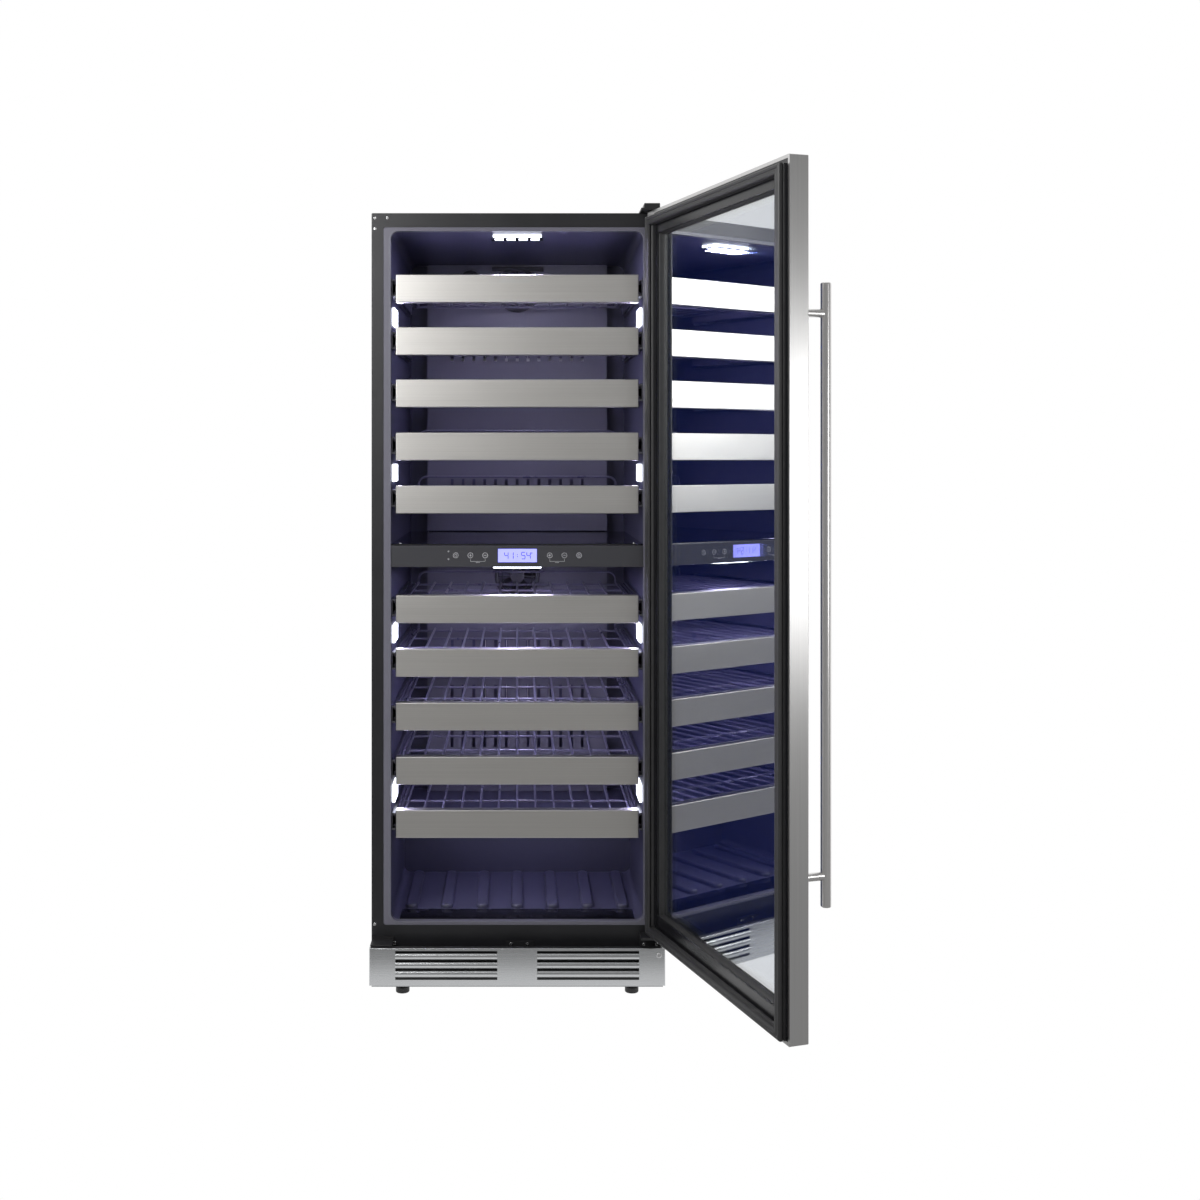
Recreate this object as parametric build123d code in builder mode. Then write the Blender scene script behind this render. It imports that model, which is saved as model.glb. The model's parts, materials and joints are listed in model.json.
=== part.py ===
from build123d import *
import os

os.makedirs("parts", exist_ok=True)

# Frame: X to the right, Y to the back, Z up, in millimetres.
# X = 0 is the middle of the cabinet, Y = 0 its front frame and Z = 0 the floor.

# Cabinet
cabinet_width = 595.0
cabinet_top = 1595.0
cabinet_back = 590.0
cabinet_base = 14.0
sheet = 1.0
seat_gap = 0.2
half_width = cabinet_width / 2

# Front frame and the lip inside it
flange_side = 24.0
flange_top = 28.6
rail_bottom = 90.0
rail_top = 141.0
frame_thickness = 3.0
lip_depth = 14.0

# Inner liner
liner_half = 258.0
liner_floor = 149.0
liner_ceiling = 1558.0
liner_back = 540.0
liner_wall = 2.0
liner_corner = 16.0
step_front = 350.0
step_top = 295.0

# Partition between the two zones
divider_top = 919.0
divider_bottom = 872.0
duct_front = 505.0

# Shelves
shelf_tops = [1471.0, 1363.0, 1256.0, 1147.0, 1038.0, 813.0, 703.0, 593.0, 482.0, 372.5]
shelf_half = 249.0
panel_height = 57.0
panel_front = 12.0
panel_depth = 22.0
panel_sheet = 1.2
wire_radius = 2.5
wire_drop = 14.0
wire_pitch = 39.0
wire_count = 13
rack_back = 480.0
slide_front = 25.0
slide_back = 445.0
slide_height = 35.0
slide_drop = 26.0

# Door, drawn closed and then swung open about its pins
open_angle = 107.75
pivot_x = 282.5
pivot_y = -28.0
door_gap = 14.0
door_depth = 35.0
door_bottom = 131.0
door_top = 1593.0
door_left = -295.5
door_right = 297.5
door_border = 48.0
skin = 1.2
pane = 4.0
pane_gap = 12.0
pane_overlap = 10.0
gasket_half = 282.5
gasket_bottom = 136.0
gasket_top = 1580.0
gasket_width = 18.0
gasket_depth = 13.5
pin_radius = 4.0
pin_length = 18.0
running_clearance = 0.05

# Handle
handle_radius = 9.0
handle_standoff = 49.0
handle_inset = 30.0
handle_bottom = 344.0
handle_top = 1388.0
post_inset = 52.0
post_radius = 7.0

# Controls
key_radius = 6.0
key_clearance = 0.3
key_offsets = [-125.5, -95.5, -65.5, 66.5, 96.5, 126.5]
key_height = 896.0
fascia_front = 2.0
fascia_back = 8.0

# Fans
fan_radius = 43.0
fan_hub = 17.0
fan_opening = 47.0
shaft_radius = 3.0
upper_fan_z = 1497.0
lower_fan_z = 812.0
condenser_fan_radius = 60.0
condenser_fan_at = (-45.0, 478.0, 105.0)

# Feet
foot_radius = 14.0
foot_height = 11.0
stem_radius = 5.0
foot_places = {
    "front_left": (-235.0, 16.0),
    "front_right": (235.0, 16.0),
    "rear_left": (-235.0, 550.0),
    "rear_right": (235.0, 550.0),
}


def block(x_range, y_range, z_range, mode=Mode.ADD):
    """Add a box between two limits on each axis to the current part."""
    spans = (x_range, y_range, z_range)
    centre = tuple(sum(span) / 2 for span in spans)
    size = tuple(span[1] - span[0] for span in spans)
    with Locations(centre):
        Box(*size, mode=mode)


def rod(radius, start, end, mode=Mode.ADD):
    """Add a round bar from one point to another to the current part."""
    direction = Vector(*end) - Vector(*start)
    with Locations(Plane(origin=start, z_dir=direction).location):
        Cylinder(radius, direction.length, align=(Align.CENTER, Align.CENTER, Align.MIN), mode=mode)


def save(part, name):
    """Label a finished piece and write it under its own name."""
    part.label = name
    export_step(part, f"parts/{name}.step")


def front_plane(depth):
    """The vertical plane at a given depth, with X to the right and Z up."""
    return Plane.XZ.offset(-depth)


def frame_ring(outer, inner, outer_corner, inner_corner):
    """Draw a rectangular ring; each rectangle is (left, right, bottom, top)."""
    for (left, right, bottom, top), corner, mode in (
        (outer, outer_corner, Mode.ADD),
        (inner, inner_corner, Mode.SUBTRACT),
    ):
        with Locations(((left + right) / 2, (bottom + top) / 2)):
            RectangleRounded(right - left, top - bottom, corner, mode=mode)


# ---------------------------------------------------------------- cabinet shell

vent_rows = 8
vent_columns = 2
anti_tip_spacing = 400.0
anti_tip_z = 1575.0
anti_tip_radius = 2.5
cover_split = 265.0
vent_pitch = (190.0, 22.0)
vent_slot = (160.0, 8.0)
vent_middle = (-60.0, 140.0)
gland_at = (210.0, 70.0)
gland_hole = 11.0
gland_rise = 4.0
cord_radius = 4.2

with BuildPart() as outer_shell:
    # Side and top wrap, one folded sheet
    block((-half_width, half_width), (frame_thickness, cabinet_back - sheet), (cabinet_base, cabinet_top))
    block(
        (-half_width + sheet, half_width - sheet),
        (frame_thickness, cabinet_back - sheet),
        (cabinet_base, cabinet_top - sheet),
        mode=Mode.SUBTRACT,
    )
    folds = outer_shell.edges().filter_by(Axis.Y).group_by(Axis.Z)[-1].sort_by(Axis.X)
    fillet([folds[0], folds[-1]], radius=sheet * 1.5)

with BuildPart() as back_panel:
    block((-half_width, half_width), (cabinet_back - sheet, cabinet_back), (cover_split, cabinet_top))
    with Locations(Plane.XZ.offset(-cabinet_back).location):
        with Locations((-anti_tip_spacing / 2, anti_tip_z), (anti_tip_spacing / 2, anti_tip_z)):
            Cylinder(anti_tip_radius, sheet * 4, mode=Mode.SUBTRACT)

with BuildPart() as rear_cover:
    block((-half_width, half_width), (cabinet_back - sheet, cabinet_back), (cabinet_base, cover_split - sheet))
    with BuildSketch(front_plane(cabinet_back)):
        with Locations(vent_middle):
            with GridLocations(*vent_pitch, vent_columns, vent_rows):
                SlotOverall(*vent_slot)
    extrude(amount=sheet, mode=Mode.SUBTRACT)
    with BuildSketch(front_plane(cabinet_back)):
        with Locations(gland_at):
            Circle(gland_hole)
    extrude(amount=sheet, mode=Mode.SUBTRACT)

save(Compound(children=[outer_shell.part, back_panel.part, rear_cover.part]), "outer_shell")

# Liner cavity outline in the YZ plane, grown outwards by a wall thickness
def cavity(growth):
    """Return the closed block of the liner's space, grown by a margin."""
    with BuildPart(mode=Mode.PRIVATE) as space:
        with BuildSketch(Plane.YZ):
            with BuildLine():
                Polyline(
                    (lip_depth, liner_floor - growth),
                    (step_front + growth, liner_floor - growth),
                    (step_front + growth, step_top - growth),
                    (liner_back + growth, step_top - growth),
                    (liner_back + growth, liner_ceiling + growth),
                    (lip_depth, liner_ceiling + growth),
                    close=True,
                )
            make_face()
        extrude(amount=liner_half + growth, both=True)
        long_edges = space.edges().filter_by(Axis.Y)
        fillet(long_edges.group_by(Axis.Z)[0] + long_edges.group_by(Axis.Z)[-1], radius=liner_corner + growth)
    return space.part


cavity_inside = cavity(0.0)
cavity_outside = cavity(liner_wall)
rib_count = 7
rib_pitch = 74.0
rib_length = 250.0
rib_width = 26.0
rib_height = 9.0
rib_middle = 208.0

with BuildPart() as inner_liner:
    add(cavity_outside)
    add(cavity_inside, mode=Mode.SUBTRACT)
    # Ribs that part the bottles lying on the floor
    with BuildSketch(Plane.XY.offset(liner_floor - liner_wall / 2)):
        with Locations((0, rib_middle)):
            with GridLocations(rib_pitch, 1, rib_count, 1):
                SlotOverall(rib_length, rib_width, rotation=90)
    ribs = extrude(amount=rib_height + liner_wall / 2)
    rib_tops = ribs.faces().filter_by(Axis.Z).group_by(Axis.Z)[-1]
    fillet(rib_tops.edges(), radius=rib_height * 0.6)

save(inner_liner.part, "inner_liner")

foam_base = 100.0
foam_step_front = 385.0
foam_step_top = 262.0

with BuildPart() as insulation_foam:
    with BuildSketch(Plane.YZ):
        with BuildLine():
            Polyline(
                (lip_depth, foam_base),
                (foam_step_front, foam_base),
                (foam_step_front, foam_step_top),
                (cabinet_back - sheet, foam_step_top),
                (cabinet_back - sheet, cabinet_top - sheet),
                (lip_depth, cabinet_top - sheet),
                close=True,
            )
        make_face()
    extrude(amount=half_width - sheet, both=True)
    add(cavity_outside, mode=Mode.SUBTRACT)
    # Blind holes behind the two anti-tip screws
    for side in (-1, 1):
        rod(
            anti_tip_radius * 2,
            (side * anti_tip_spacing / 2, cabinet_back - 22, anti_tip_z),
            (side * anti_tip_spacing / 2, cabinet_back, anti_tip_z),
            mode=Mode.SUBTRACT,
        )
    top_folds = insulation_foam.edges().filter_by(Axis.Y).group_by(Axis.Z)[-1].sort_by(Axis.X)
    fillet([top_folds[0], top_folds[-1]], radius=sheet * 2)

save(insulation_foam.part, "insulation_foam")

frame_opening = (-half_width + flange_side, half_width - flange_side, rail_top, cabinet_top - flange_top)
frame_outline = (-half_width, half_width, rail_bottom, cabinet_top)
lip_margin = 0.4
lip_outline = (
    frame_opening[0] + lip_margin,
    frame_opening[1] - lip_margin,
    frame_opening[2] + lip_margin,
    frame_opening[3] - lip_margin,
)
lip_opening = (-liner_half, liner_half, liner_floor, liner_ceiling)

with BuildPart() as front_frame:
    with BuildSketch(front_plane(0)):
        frame_ring(frame_outline, frame_opening, 3.0, 6.0)
    extrude(amount=-frame_thickness)
    # Return flange that stiffens the inside of the frame
    with BuildSketch(front_plane(frame_thickness)):
        frame_ring(
            (frame_opening[0] - 3, frame_opening[1] + 3, frame_opening[2] - 3, frame_opening[3] + 3),
            frame_opening,
            8.0,
            6.0,
        )
    extrude(amount=-(lip_depth - frame_thickness))
    front_edges = front_frame.faces().sort_by(Axis.Y)[0].outer_wire().edges()
    fillet(front_edges, radius=1.2)

save(front_frame.part, "front_frame")

bead_width = 4.0
bead_rise = 1.0

with BuildPart() as liner_trim:
    with BuildSketch(front_plane(bead_rise)):
        frame_ring(lip_outline, lip_opening, 5.6, liner_corner)
    extrude(amount=-(lip_depth - bead_rise))
    # Rolled bead round the mouth
    with BuildSketch(front_plane(0)):
        frame_ring(
            (
                lip_opening[0] - bead_width,
                lip_opening[1] + bead_width,
                lip_opening[2] - bead_width,
                lip_opening[3] + bead_width,
            ),
            lip_opening,
            liner_corner + bead_width,
            liner_corner,
        )
    extrude(amount=-bead_rise * 2)
    fillet(liner_trim.faces().sort_by(Axis.Y)[0].edges(), radius=0.9)

save(liner_trim.part, "liner_trim")

# ---------------------------------------------------------------- partition and controls

display_left = -40.0
display_right = 41.0
display_bottom = 881.0
display_top = 910.0
display_sink = 0.3
divider_clearance = 0.4

with BuildPart() as divider:
    block(
        (-liner_half + divider_clearance, liner_half - divider_clearance),
        (fascia_back, duct_front - 1),
        (divider_bottom, divider_top),
    )
    fillet(divider.faces().sort_by(Axis.Y)[0].edges().filter_by(Axis.X).sort_by(Axis.Z)[-1], radius=3.0)

save(divider.part, "divider")

with BuildPart() as control_fascia:
    block(
        (-liner_half + divider_clearance, liner_half - divider_clearance),
        (fascia_front, fascia_back),
        (divider_bottom, divider_top - 3.2),
    )
    fillet(control_fascia.faces().sort_by(Axis.Y)[0].edges().filter_by(Axis.X), radius=1.2)
    block(
        (display_left, display_right),
        (fascia_front, fascia_front + 3),
        (display_bottom, display_top),
        mode=Mode.SUBTRACT,
    )
    for key_x in key_offsets:
        rod(
            key_radius + key_clearance,
            (key_x, fascia_front - 1, key_height),
            (key_x, fascia_back + 1, key_height),
            mode=Mode.SUBTRACT,
        )

save(control_fascia.part, "control_fascia")

with BuildPart() as display:
    block(
        (display_left, display_right),
        (fascia_front + display_sink, fascia_front + 3),
        (display_bottom, display_top),
    )

save(display.part, "display")

key_names = ["power", "light", "unit", "mode", "plus", "minus"]
for key_x, key_name in zip(key_offsets, key_names):
    with BuildPart() as key:
        rod(key_radius, (key_x, fascia_front - 0.6, key_height), (key_x, fascia_back - 1.2, key_height))
        fillet(key.faces().sort_by(Axis.Y)[0].edges(), radius=0.4)
    save(key.part, f"{key_name}_key")

# ---------------------------------------------------------------- air ducts and fans

duct_half = 215.0
duct_sheet = 2.5
duct_slot = (7.0, 42.0)
upper_duct = (divider_top + 2, liner_ceiling - 1)
lower_duct = (step_top + 2, divider_bottom - 2)


def air_duct(bottom, top, fan_z, slot_rows):
    """Return one hollow duct with its fan opening and its rows of upright slots."""
    with BuildPart() as duct:
        block((-duct_half, duct_half), (duct_front, liner_back - 0.5), (bottom, top))
        block(
            (-duct_half + duct_sheet, duct_half - duct_sheet),
            (duct_front + duct_sheet, liner_back),
            (bottom + duct_sheet, top - duct_sheet),
            mode=Mode.SUBTRACT,
        )
        rod(fan_opening, (0, duct_front - 1, fan_z), (0, duct_front + duct_sheet + 1, fan_z), mode=Mode.SUBTRACT)
        with BuildSketch(front_plane(duct_front)):
            with Locations((0, bottom + (fan_z - fan_opening - bottom) / 2)):
                with GridLocations(26, 108, 13, slot_rows):
                    Rectangle(duct_slot[0], duct_slot[1])
        extrude(amount=-duct_sheet, mode=Mode.SUBTRACT)
    return duct.part


save(
    Compound(
        children=[
            air_duct(*upper_duct, upper_fan_z, 4),
            air_duct(*lower_duct, lower_fan_z, 3),
        ]
    ),
    "air_ducts",
)

guard_radii = [12.0, 20.0, 28.0, 36.0]
guard_wire = 1.3
guard_rise = 7.0
cap_at = (-112.0, 1519.0)
cap_radius = 25.0
outlet_span = (-60.0, 62.0)


def fan_guard(fan_z):
    """Return the ringed guard over a fan opening."""
    with BuildPart() as guard:
        with BuildSketch(front_plane(duct_front)):
            with Locations((0, fan_z)):
                Circle(fan_opening + 7)
                Circle(fan_opening - 3, mode=Mode.SUBTRACT)
        extrude(amount=guard_rise)
        fillet(guard.faces().sort_by(Axis.Y)[0].edges(), radius=2.0)
        with BuildSketch(front_plane(duct_front - guard_rise + 2)):
            for radius in guard_radii:
                with Locations((0, fan_z)):
                    Circle(radius + guard_wire)
                    Circle(radius - guard_wire, mode=Mode.SUBTRACT)
            with Locations((0, fan_z)):
                Circle(guard_radii[0])
                Rectangle(fan_opening * 2 - 4, guard_wire * 2)
                Rectangle(guard_wire * 2, fan_opening * 2 - 4)
        extrude(amount=-guard_wire * 2)
    return guard.part


with BuildPart() as filter_cap:
    rod(cap_radius, (cap_at[0], duct_front - 9, cap_at[1]), (cap_at[0], duct_front, cap_at[1]))
    fillet(filter_cap.faces().sort_by(Axis.Y)[0].edges(), radius=3.0)
    block(
        (cap_at[0] - 15, cap_at[0] + 15),
        (duct_front - 13, duct_front - 8),
        (cap_at[1] - 3, cap_at[1] + 3),
    )

with BuildPart() as air_outlet:
    block(outlet_span, (duct_front - 12, duct_front), (liner_ceiling - 17, liner_ceiling - 7))
    fillet(air_outlet.edges().filter_by(Axis.X), radius=2.0)

save(
    Compound(children=[fan_guard(upper_fan_z), fan_guard(lower_fan_z), filter_cap.part, air_outlet.part]),
    "duct_fittings",
)

blade_count = 7
blade_pitch = 38.0
blade_depth = 18.0


def fan_wheel(tip_radius, hub_radius, depth):
    """Return a fan wheel on the Z axis, bored for its shaft."""
    with BuildPart() as wheel:
        Cylinder(hub_radius, depth)
        middle = (tip_radius + hub_radius) / 2
        with PolarLocations(middle, blade_count):
            Box(tip_radius - hub_radius + 2, 2.0, depth, rotation=(blade_pitch, 0, 0))
        Cylinder(shaft_radius + running_clearance, depth * 2, mode=Mode.SUBTRACT)
    return wheel.part


fan_middle_y = duct_front + duct_sheet + 12
zone_fan = fan_wheel(fan_radius, fan_hub, blade_depth)
for fan_name, fan_z in (("upper", upper_fan_z), ("lower", lower_fan_z)):
    save(zone_fan.rotate(Axis.X, 90).moved(Location((0, fan_middle_y, fan_z))), f"{fan_name}_fan")

machine_fan = fan_wheel(condenser_fan_radius, fan_hub * 1.3, 26.0)
save(machine_fan.rotate(Axis.Y, 90).moved(Location(condenser_fan_at)), "condenser_fan")

motors = []
for fan_z in (upper_fan_z, lower_fan_z):
    with BuildPart() as motor:
        rod(15.0, (0, fan_middle_y + blade_depth / 2 + 1, fan_z), (0, liner_back, fan_z))
        rod(shaft_radius, (0, fan_middle_y - blade_depth / 2, fan_z), (0, liner_back - 5, fan_z))
    motors.append(motor.part)
with BuildPart() as machine_motor:
    motor_x, motor_y, motor_z = condenser_fan_at
    rod(24.0, (motor_x + 14, motor_y, motor_z), (motor_x + 60, motor_y, motor_z))
    rod(shaft_radius, (motor_x - 13, motor_y, motor_z), (motor_x + 30, motor_y, motor_z))
    block((motor_x + 25, motor_x + 50), (motor_y - 12, motor_y + 12), (cabinet_base + 1.5, motor_z - 20))
motors.append(machine_motor.part)
save(Compound(children=motors), "fan_motors")

fin_count = 18
fin_pitch = 17.0
fin_size = (1.0, 22.0, 240.0)
evaporator_y = 522.0
evaporator_half = 165.0
tube_pitch = 60.0
tube_radius = 5.0
evaporator_parts = []
for coil_middle in (1300.0, 600.0):
    with BuildPart() as coil:
        with Locations((0, evaporator_y, coil_middle)):
            with GridLocations(fin_pitch, 1, fin_count, 1):
                Box(*fin_size)
        for row in range(4):
            tube_z = coil_middle + (row - 1.5) * tube_pitch
            rod(tube_radius, (-evaporator_half, evaporator_y, tube_z), (evaporator_half, evaporator_y, tube_z))
    evaporator_parts.append(coil.part)
save(Compound(children=evaporator_parts), "evaporators")

# ---------------------------------------------------------------- lamps

lamp_gaps = [(0, 1), (3, 4), (5, 6), (8, 9)]
lamp_front = 45.0
lamp_back = 115.0
lamp_height = 36.0
lamp_rise = 5.0
ceiling_lamp_half = 50.0
ceiling_lamp_span = (48.0, 88.0)
ceiling_lamp_depth = 6.0
lamp_lenses = []
for above, below in lamp_gaps:
    gap_middle = (shelf_tops[above] - panel_height + shelf_tops[below]) / 2
    for side in (-1, 1):
        with BuildPart() as lens:
            inner_face = liner_half - lamp_rise
            block(
                sorted((side * inner_face, side * liner_half)),
                (lamp_front, lamp_back),
                (gap_middle - lamp_height / 2, gap_middle + lamp_height / 2),
            )
            rim = lens.faces().sort_by(Axis.X)[0 if side > 0 else -1]
            fillet(rim.edges(), radius=2.0)
        lamp_lenses.append(lens.part)
for zone_ceiling in (liner_ceiling, divider_bottom):
    with BuildPart() as ceiling_lens:
        block(
            (-ceiling_lamp_half, ceiling_lamp_half),
            ceiling_lamp_span,
            (zone_ceiling - ceiling_lamp_depth, zone_ceiling),
        )
        fillet(ceiling_lens.faces().sort_by(Axis.Z)[0].edges(), radius=2.0)
    lamp_lenses.append(ceiling_lens.part)
save(Compound(children=lamp_lenses), "lamp_lenses")

# ---------------------------------------------------------------- shelves and slides

with BuildPart() as shelf_panel:
    block((-shelf_half, shelf_half), (panel_front, panel_front + panel_depth), (-panel_height, 0))
    fillet(shelf_panel.faces().sort_by(Axis.Y)[0].edges(), radius=1.5)
    block(
        (-shelf_half + panel_sheet, shelf_half - panel_sheet),
        (panel_front + panel_sheet, panel_front + panel_depth),
        (-panel_height + panel_sheet, -panel_sheet),
        mode=Mode.SUBTRACT,
    )

wire_z = -wire_drop
bar_z = wire_z - 2 * wire_radius + 0.5
loop_rise = 26.0
rack_side = 244.0
rack_front = panel_front + panel_sheet + 3
outermost_wire = wire_pitch * (wire_count - 1) / 2

with BuildPart() as shelf_rack:
    for index in range(wire_count):
        wire_x = (index - (wire_count - 1) / 2) * wire_pitch
        rod(wire_radius, (wire_x, rack_front, wire_z), (wire_x, rack_back, wire_z))
    for bar_y in (rack_front + 8, 170.0, 325.0, rack_back - 6):
        rod(wire_radius, (-rack_side, bar_y, bar_z), (rack_side, bar_y, bar_z))
    for side in (-1, 1):
        rod(wire_radius + 1, (side * rack_side, rack_front, bar_z), (side * rack_side, rack_back, bar_z))
    with BuildLine(Plane.XZ.offset(-rack_back + wire_radius)):
        FilletPolyline(
            (-outermost_wire, wire_z),
            (-outermost_wire, wire_z + loop_rise),
            (outermost_wire, wire_z + loop_rise),
            (outermost_wire, wire_z),
            radius=18,
        )
    with BuildSketch(Plane((-outermost_wire, rack_back - wire_radius, wire_z))):
        Circle(wire_radius)
    sweep()

runner_height = 26.0
runner_inner = rack_side + wire_radius + 1
runner_outer = 255.0
slide_wall = 1.2
slide_lip = 3.5
runners = []
for side in (-1, 1):
    with BuildPart() as runner:
        block(
            sorted((side * runner_inner, side * runner_outer)),
            (slide_front + 10, slide_back),
            (-slide_drop - runner_height / 2, -slide_drop + runner_height / 2),
        )
        block(
            sorted((side * (runner_inner + 1.5), side * runner_outer)),
            (slide_front + 10, slide_back),
            (-slide_drop - runner_height / 2 + 5, -slide_drop + runner_height / 2 - 5),
            mode=Mode.SUBTRACT,
        )
    runners.append(runner.part)

rails = []
for number, shelf_top in enumerate(shelf_tops, start=1):
    place = Location((0, 0, shelf_top))
    save(shelf_panel.part.moved(place), f"shelf_{number:02d}_panel")
    pieces = [shelf_rack.part.moved(place)] + [runner.moved(place) for runner in runners]
    save(Compound(children=pieces), f"shelf_{number:02d}_rack")
    for side in (-1, 1):
        with BuildPart() as rail:
            rail_middle = shelf_top - slide_drop
            block(
                sorted((side * (runner_inner + 4), side * liner_half)),
                (slide_front, slide_back),
                (rail_middle - slide_height / 2, rail_middle + slide_height / 2),
            )
            block(
                sorted((side * runner_inner, side * (liner_half - slide_wall))),
                (slide_front, slide_back),
                (rail_middle - slide_height / 2 + slide_lip, rail_middle + slide_height / 2 - slide_lip),
                mode=Mode.SUBTRACT,
            )
        rails.append(rail.part)
save(Compound(children=rails), "slide_rails")

# ---------------------------------------------------------------- base

pan_sheet = 1.5
pan_top = cabinet_base + pan_sheet
pan_flange = 26.0
pan_half = half_width - sheet - seat_gap
pan_back = cabinet_back - sheet - seat_gap
upright_width = 40.0
upright_wall = 2.0
upright_span = (frame_thickness + 6, frame_thickness + 60)
nut_radius = 11.0
nut_height = 12.0
stem_length = 33.0

with BuildPart() as base_frame:
    block((-pan_half, pan_half), (frame_thickness, pan_back), (cabinet_base, cabinet_base + pan_flange))
    block(
        (-pan_half + pan_sheet, pan_half - pan_sheet),
        (frame_thickness + pan_sheet, pan_back - pan_sheet),
        (pan_top, cabinet_base + pan_flange),
        mode=Mode.SUBTRACT,
    )
    # Uprights that carry the front of the insulated body
    for side in (-1, 1):
        block(sorted((side * (pan_half - upright_width), side * pan_half)), upright_span, (pan_top, foam_base))
        block(
            sorted((side * (pan_half - upright_width + upright_wall), side * (pan_half - upright_wall))),
            (upright_span[0] + upright_wall, upright_span[1] - upright_wall),
            (pan_top, foam_base),
            mode=Mode.SUBTRACT,
        )
    # Welded nuts for the levelling feet
    for foot_x, foot_y in foot_places.values():
        rod(nut_radius, (foot_x, foot_y, cabinet_base), (foot_x, foot_y, cabinet_base + nut_height))
        rod(
            stem_radius + running_clearance,
            (foot_x, foot_y, cabinet_base - 1),
            (foot_x, foot_y, foot_height + stem_length + 1),
            mode=Mode.SUBTRACT,
        )

save(base_frame.part, "base_frame")

for place_name, (foot_x, foot_y) in foot_places.items():
    with BuildPart() as foot:
        rod(foot_radius, (foot_x, foot_y, 0), (foot_x, foot_y, foot_height))
        fillet(foot.faces().sort_by(Axis.Z)[0].edges(), radius=1.5)
        rod(stem_radius, (foot_x, foot_y, foot_height), (foot_x, foot_y, foot_height + stem_length))
        chamfer(foot.faces().sort_by(Axis.Z)[-1].edges(), length=1.0)
    save(foot.part, f"{place_name}_foot")

# Toe grille, standing forward of the base to the depth of the door
grille_front = -50.0
grille_bottom = 34.0
grille_top = 109.5
grille_sheet = 1.2
grille_flange = 12.0
grille_corner = 2.0
louvre_inner = 40.0
louvre_outer = 245.0
louvre_pitch = 17.5
louvre_slots = [grille_top - 8.0 - louvre_pitch * row for row in range(4)]
slot_height = 5.5
bar_bulge = 3.0
grille_face = grille_front + bar_bulge

with BuildPart() as toe_grille:
    grille_inside = (-half_width + grille_sheet, half_width - grille_sheet)
    block((-half_width, half_width), (grille_face, -seat_gap), (grille_bottom, grille_top))
    fillet(toe_grille.faces().sort_by(Axis.Y)[0].edges(), radius=grille_corner)
    block(
        grille_inside,
        (grille_face + grille_sheet, 0),
        (grille_bottom - 1, grille_top - grille_sheet),
        mode=Mode.SUBTRACT,
    )
    # The top is open behind its flange
    block(grille_inside, (grille_face + grille_flange, 0), (grille_bottom, grille_top + 1), mode=Mode.SUBTRACT)
    louvre_length = louvre_outer - louvre_inner
    for side in (-1, 1):
        field_middle = side * (louvre_inner + louvre_outer) / 2
        # Rounded bars between the slots
        for slot_above, slot_below in zip(louvre_slots[:-1], louvre_slots[1:]):
            bar_middle = (slot_above + slot_below) / 2
            bar_half = (slot_above - slot_below - slot_height) / 2
            with BuildSketch(Plane.YZ.offset(field_middle)):
                with BuildLine():
                    bar_foot = (grille_face + seat_gap, bar_middle - bar_half)
                    bar_head = (grille_face + seat_gap, bar_middle + bar_half)
                    ThreePointArc(bar_foot, (grille_front, bar_middle), bar_head)
                    Line(bar_head, bar_foot)
                make_face()
            extrude(amount=louvre_length / 2, both=True)
        with BuildSketch(front_plane(grille_face)):
            with Locations([(field_middle, slot_z) for slot_z in louvre_slots]):
                Rectangle(louvre_length, slot_height)
        extrude(amount=-grille_sheet, mode=Mode.SUBTRACT)

save(toe_grille.part, "toe_grille")

compressor_x, compressor_y = 150.0, 465.0
compressor_radii = (72.0, 61.2)
compressor_height = 150.0
base_plate = (190.0, 120.0, 3.0)
mount_height = 12.0
mount_radius = 10.0
mount_spacing = (160.0, 100.0)

with BuildPart() as compressor:
    with BuildSketch(Plane.XY.offset(pan_top + mount_height + base_plate[2] - 1)):
        with Locations((compressor_x, compressor_y)):
            Ellipse(*compressor_radii)
    extrude(amount=compressor_height)
    fillet(compressor.faces().sort_by(Axis.Z)[-1].edges(), radius=40)
    fillet(compressor.faces().sort_by(Axis.Z)[0].edges(), radius=14)
    with Locations((compressor_x, compressor_y, pan_top + mount_height + base_plate[2] / 2)):
        Box(*base_plate)
    # Rubber mounts under the plate
    with Locations((compressor_x, compressor_y, pan_top + mount_height / 2)):
        with GridLocations(*mount_spacing, 2, 2):
            Cylinder(mount_radius, mount_height)

save(compressor.part, "compressor")

coil_at = (-170.0, 478.0, 105.0)
coil_fin = (1.0, 130.0, 150.0)
coil_fin_count = 14
coil_fin_pitch = 12.0
coil_pitch = (43.0, 55.0)
coil_reach = (-262.0, -80.0)
coil_tube_radius = 5.0
bracket_x = (-255.0, -85.0)
bracket_y = (415.0, 536.0)
bracket_sheet = 3.0
bracket_top = 60.0

with BuildPart() as condenser:
    with Locations(coil_at):
        with GridLocations(coil_fin_pitch, 1, coil_fin_count, 1):
            Box(*coil_fin)
    for row in (-1, 0, 1):
        for column in (-1, 0, 1):
            tube_y = coil_at[1] + column * coil_pitch[0]
            tube_z = coil_at[2] + row * coil_pitch[1]
            rod(coil_tube_radius, (coil_reach[0], tube_y, tube_z), (coil_reach[1], tube_y, tube_z))
    # Foot bracket under the fins
    block(bracket_x, bracket_y, (pan_top, pan_top + bracket_sheet + 1))
    block((bracket_x[0], bracket_x[0] + bracket_sheet), bracket_y, (pan_top, bracket_top))
    block((bracket_x[1] - bracket_sheet, bracket_x[1]), bracket_y, (pan_top, bracket_top))

save(condenser.part, "condenser")

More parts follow.
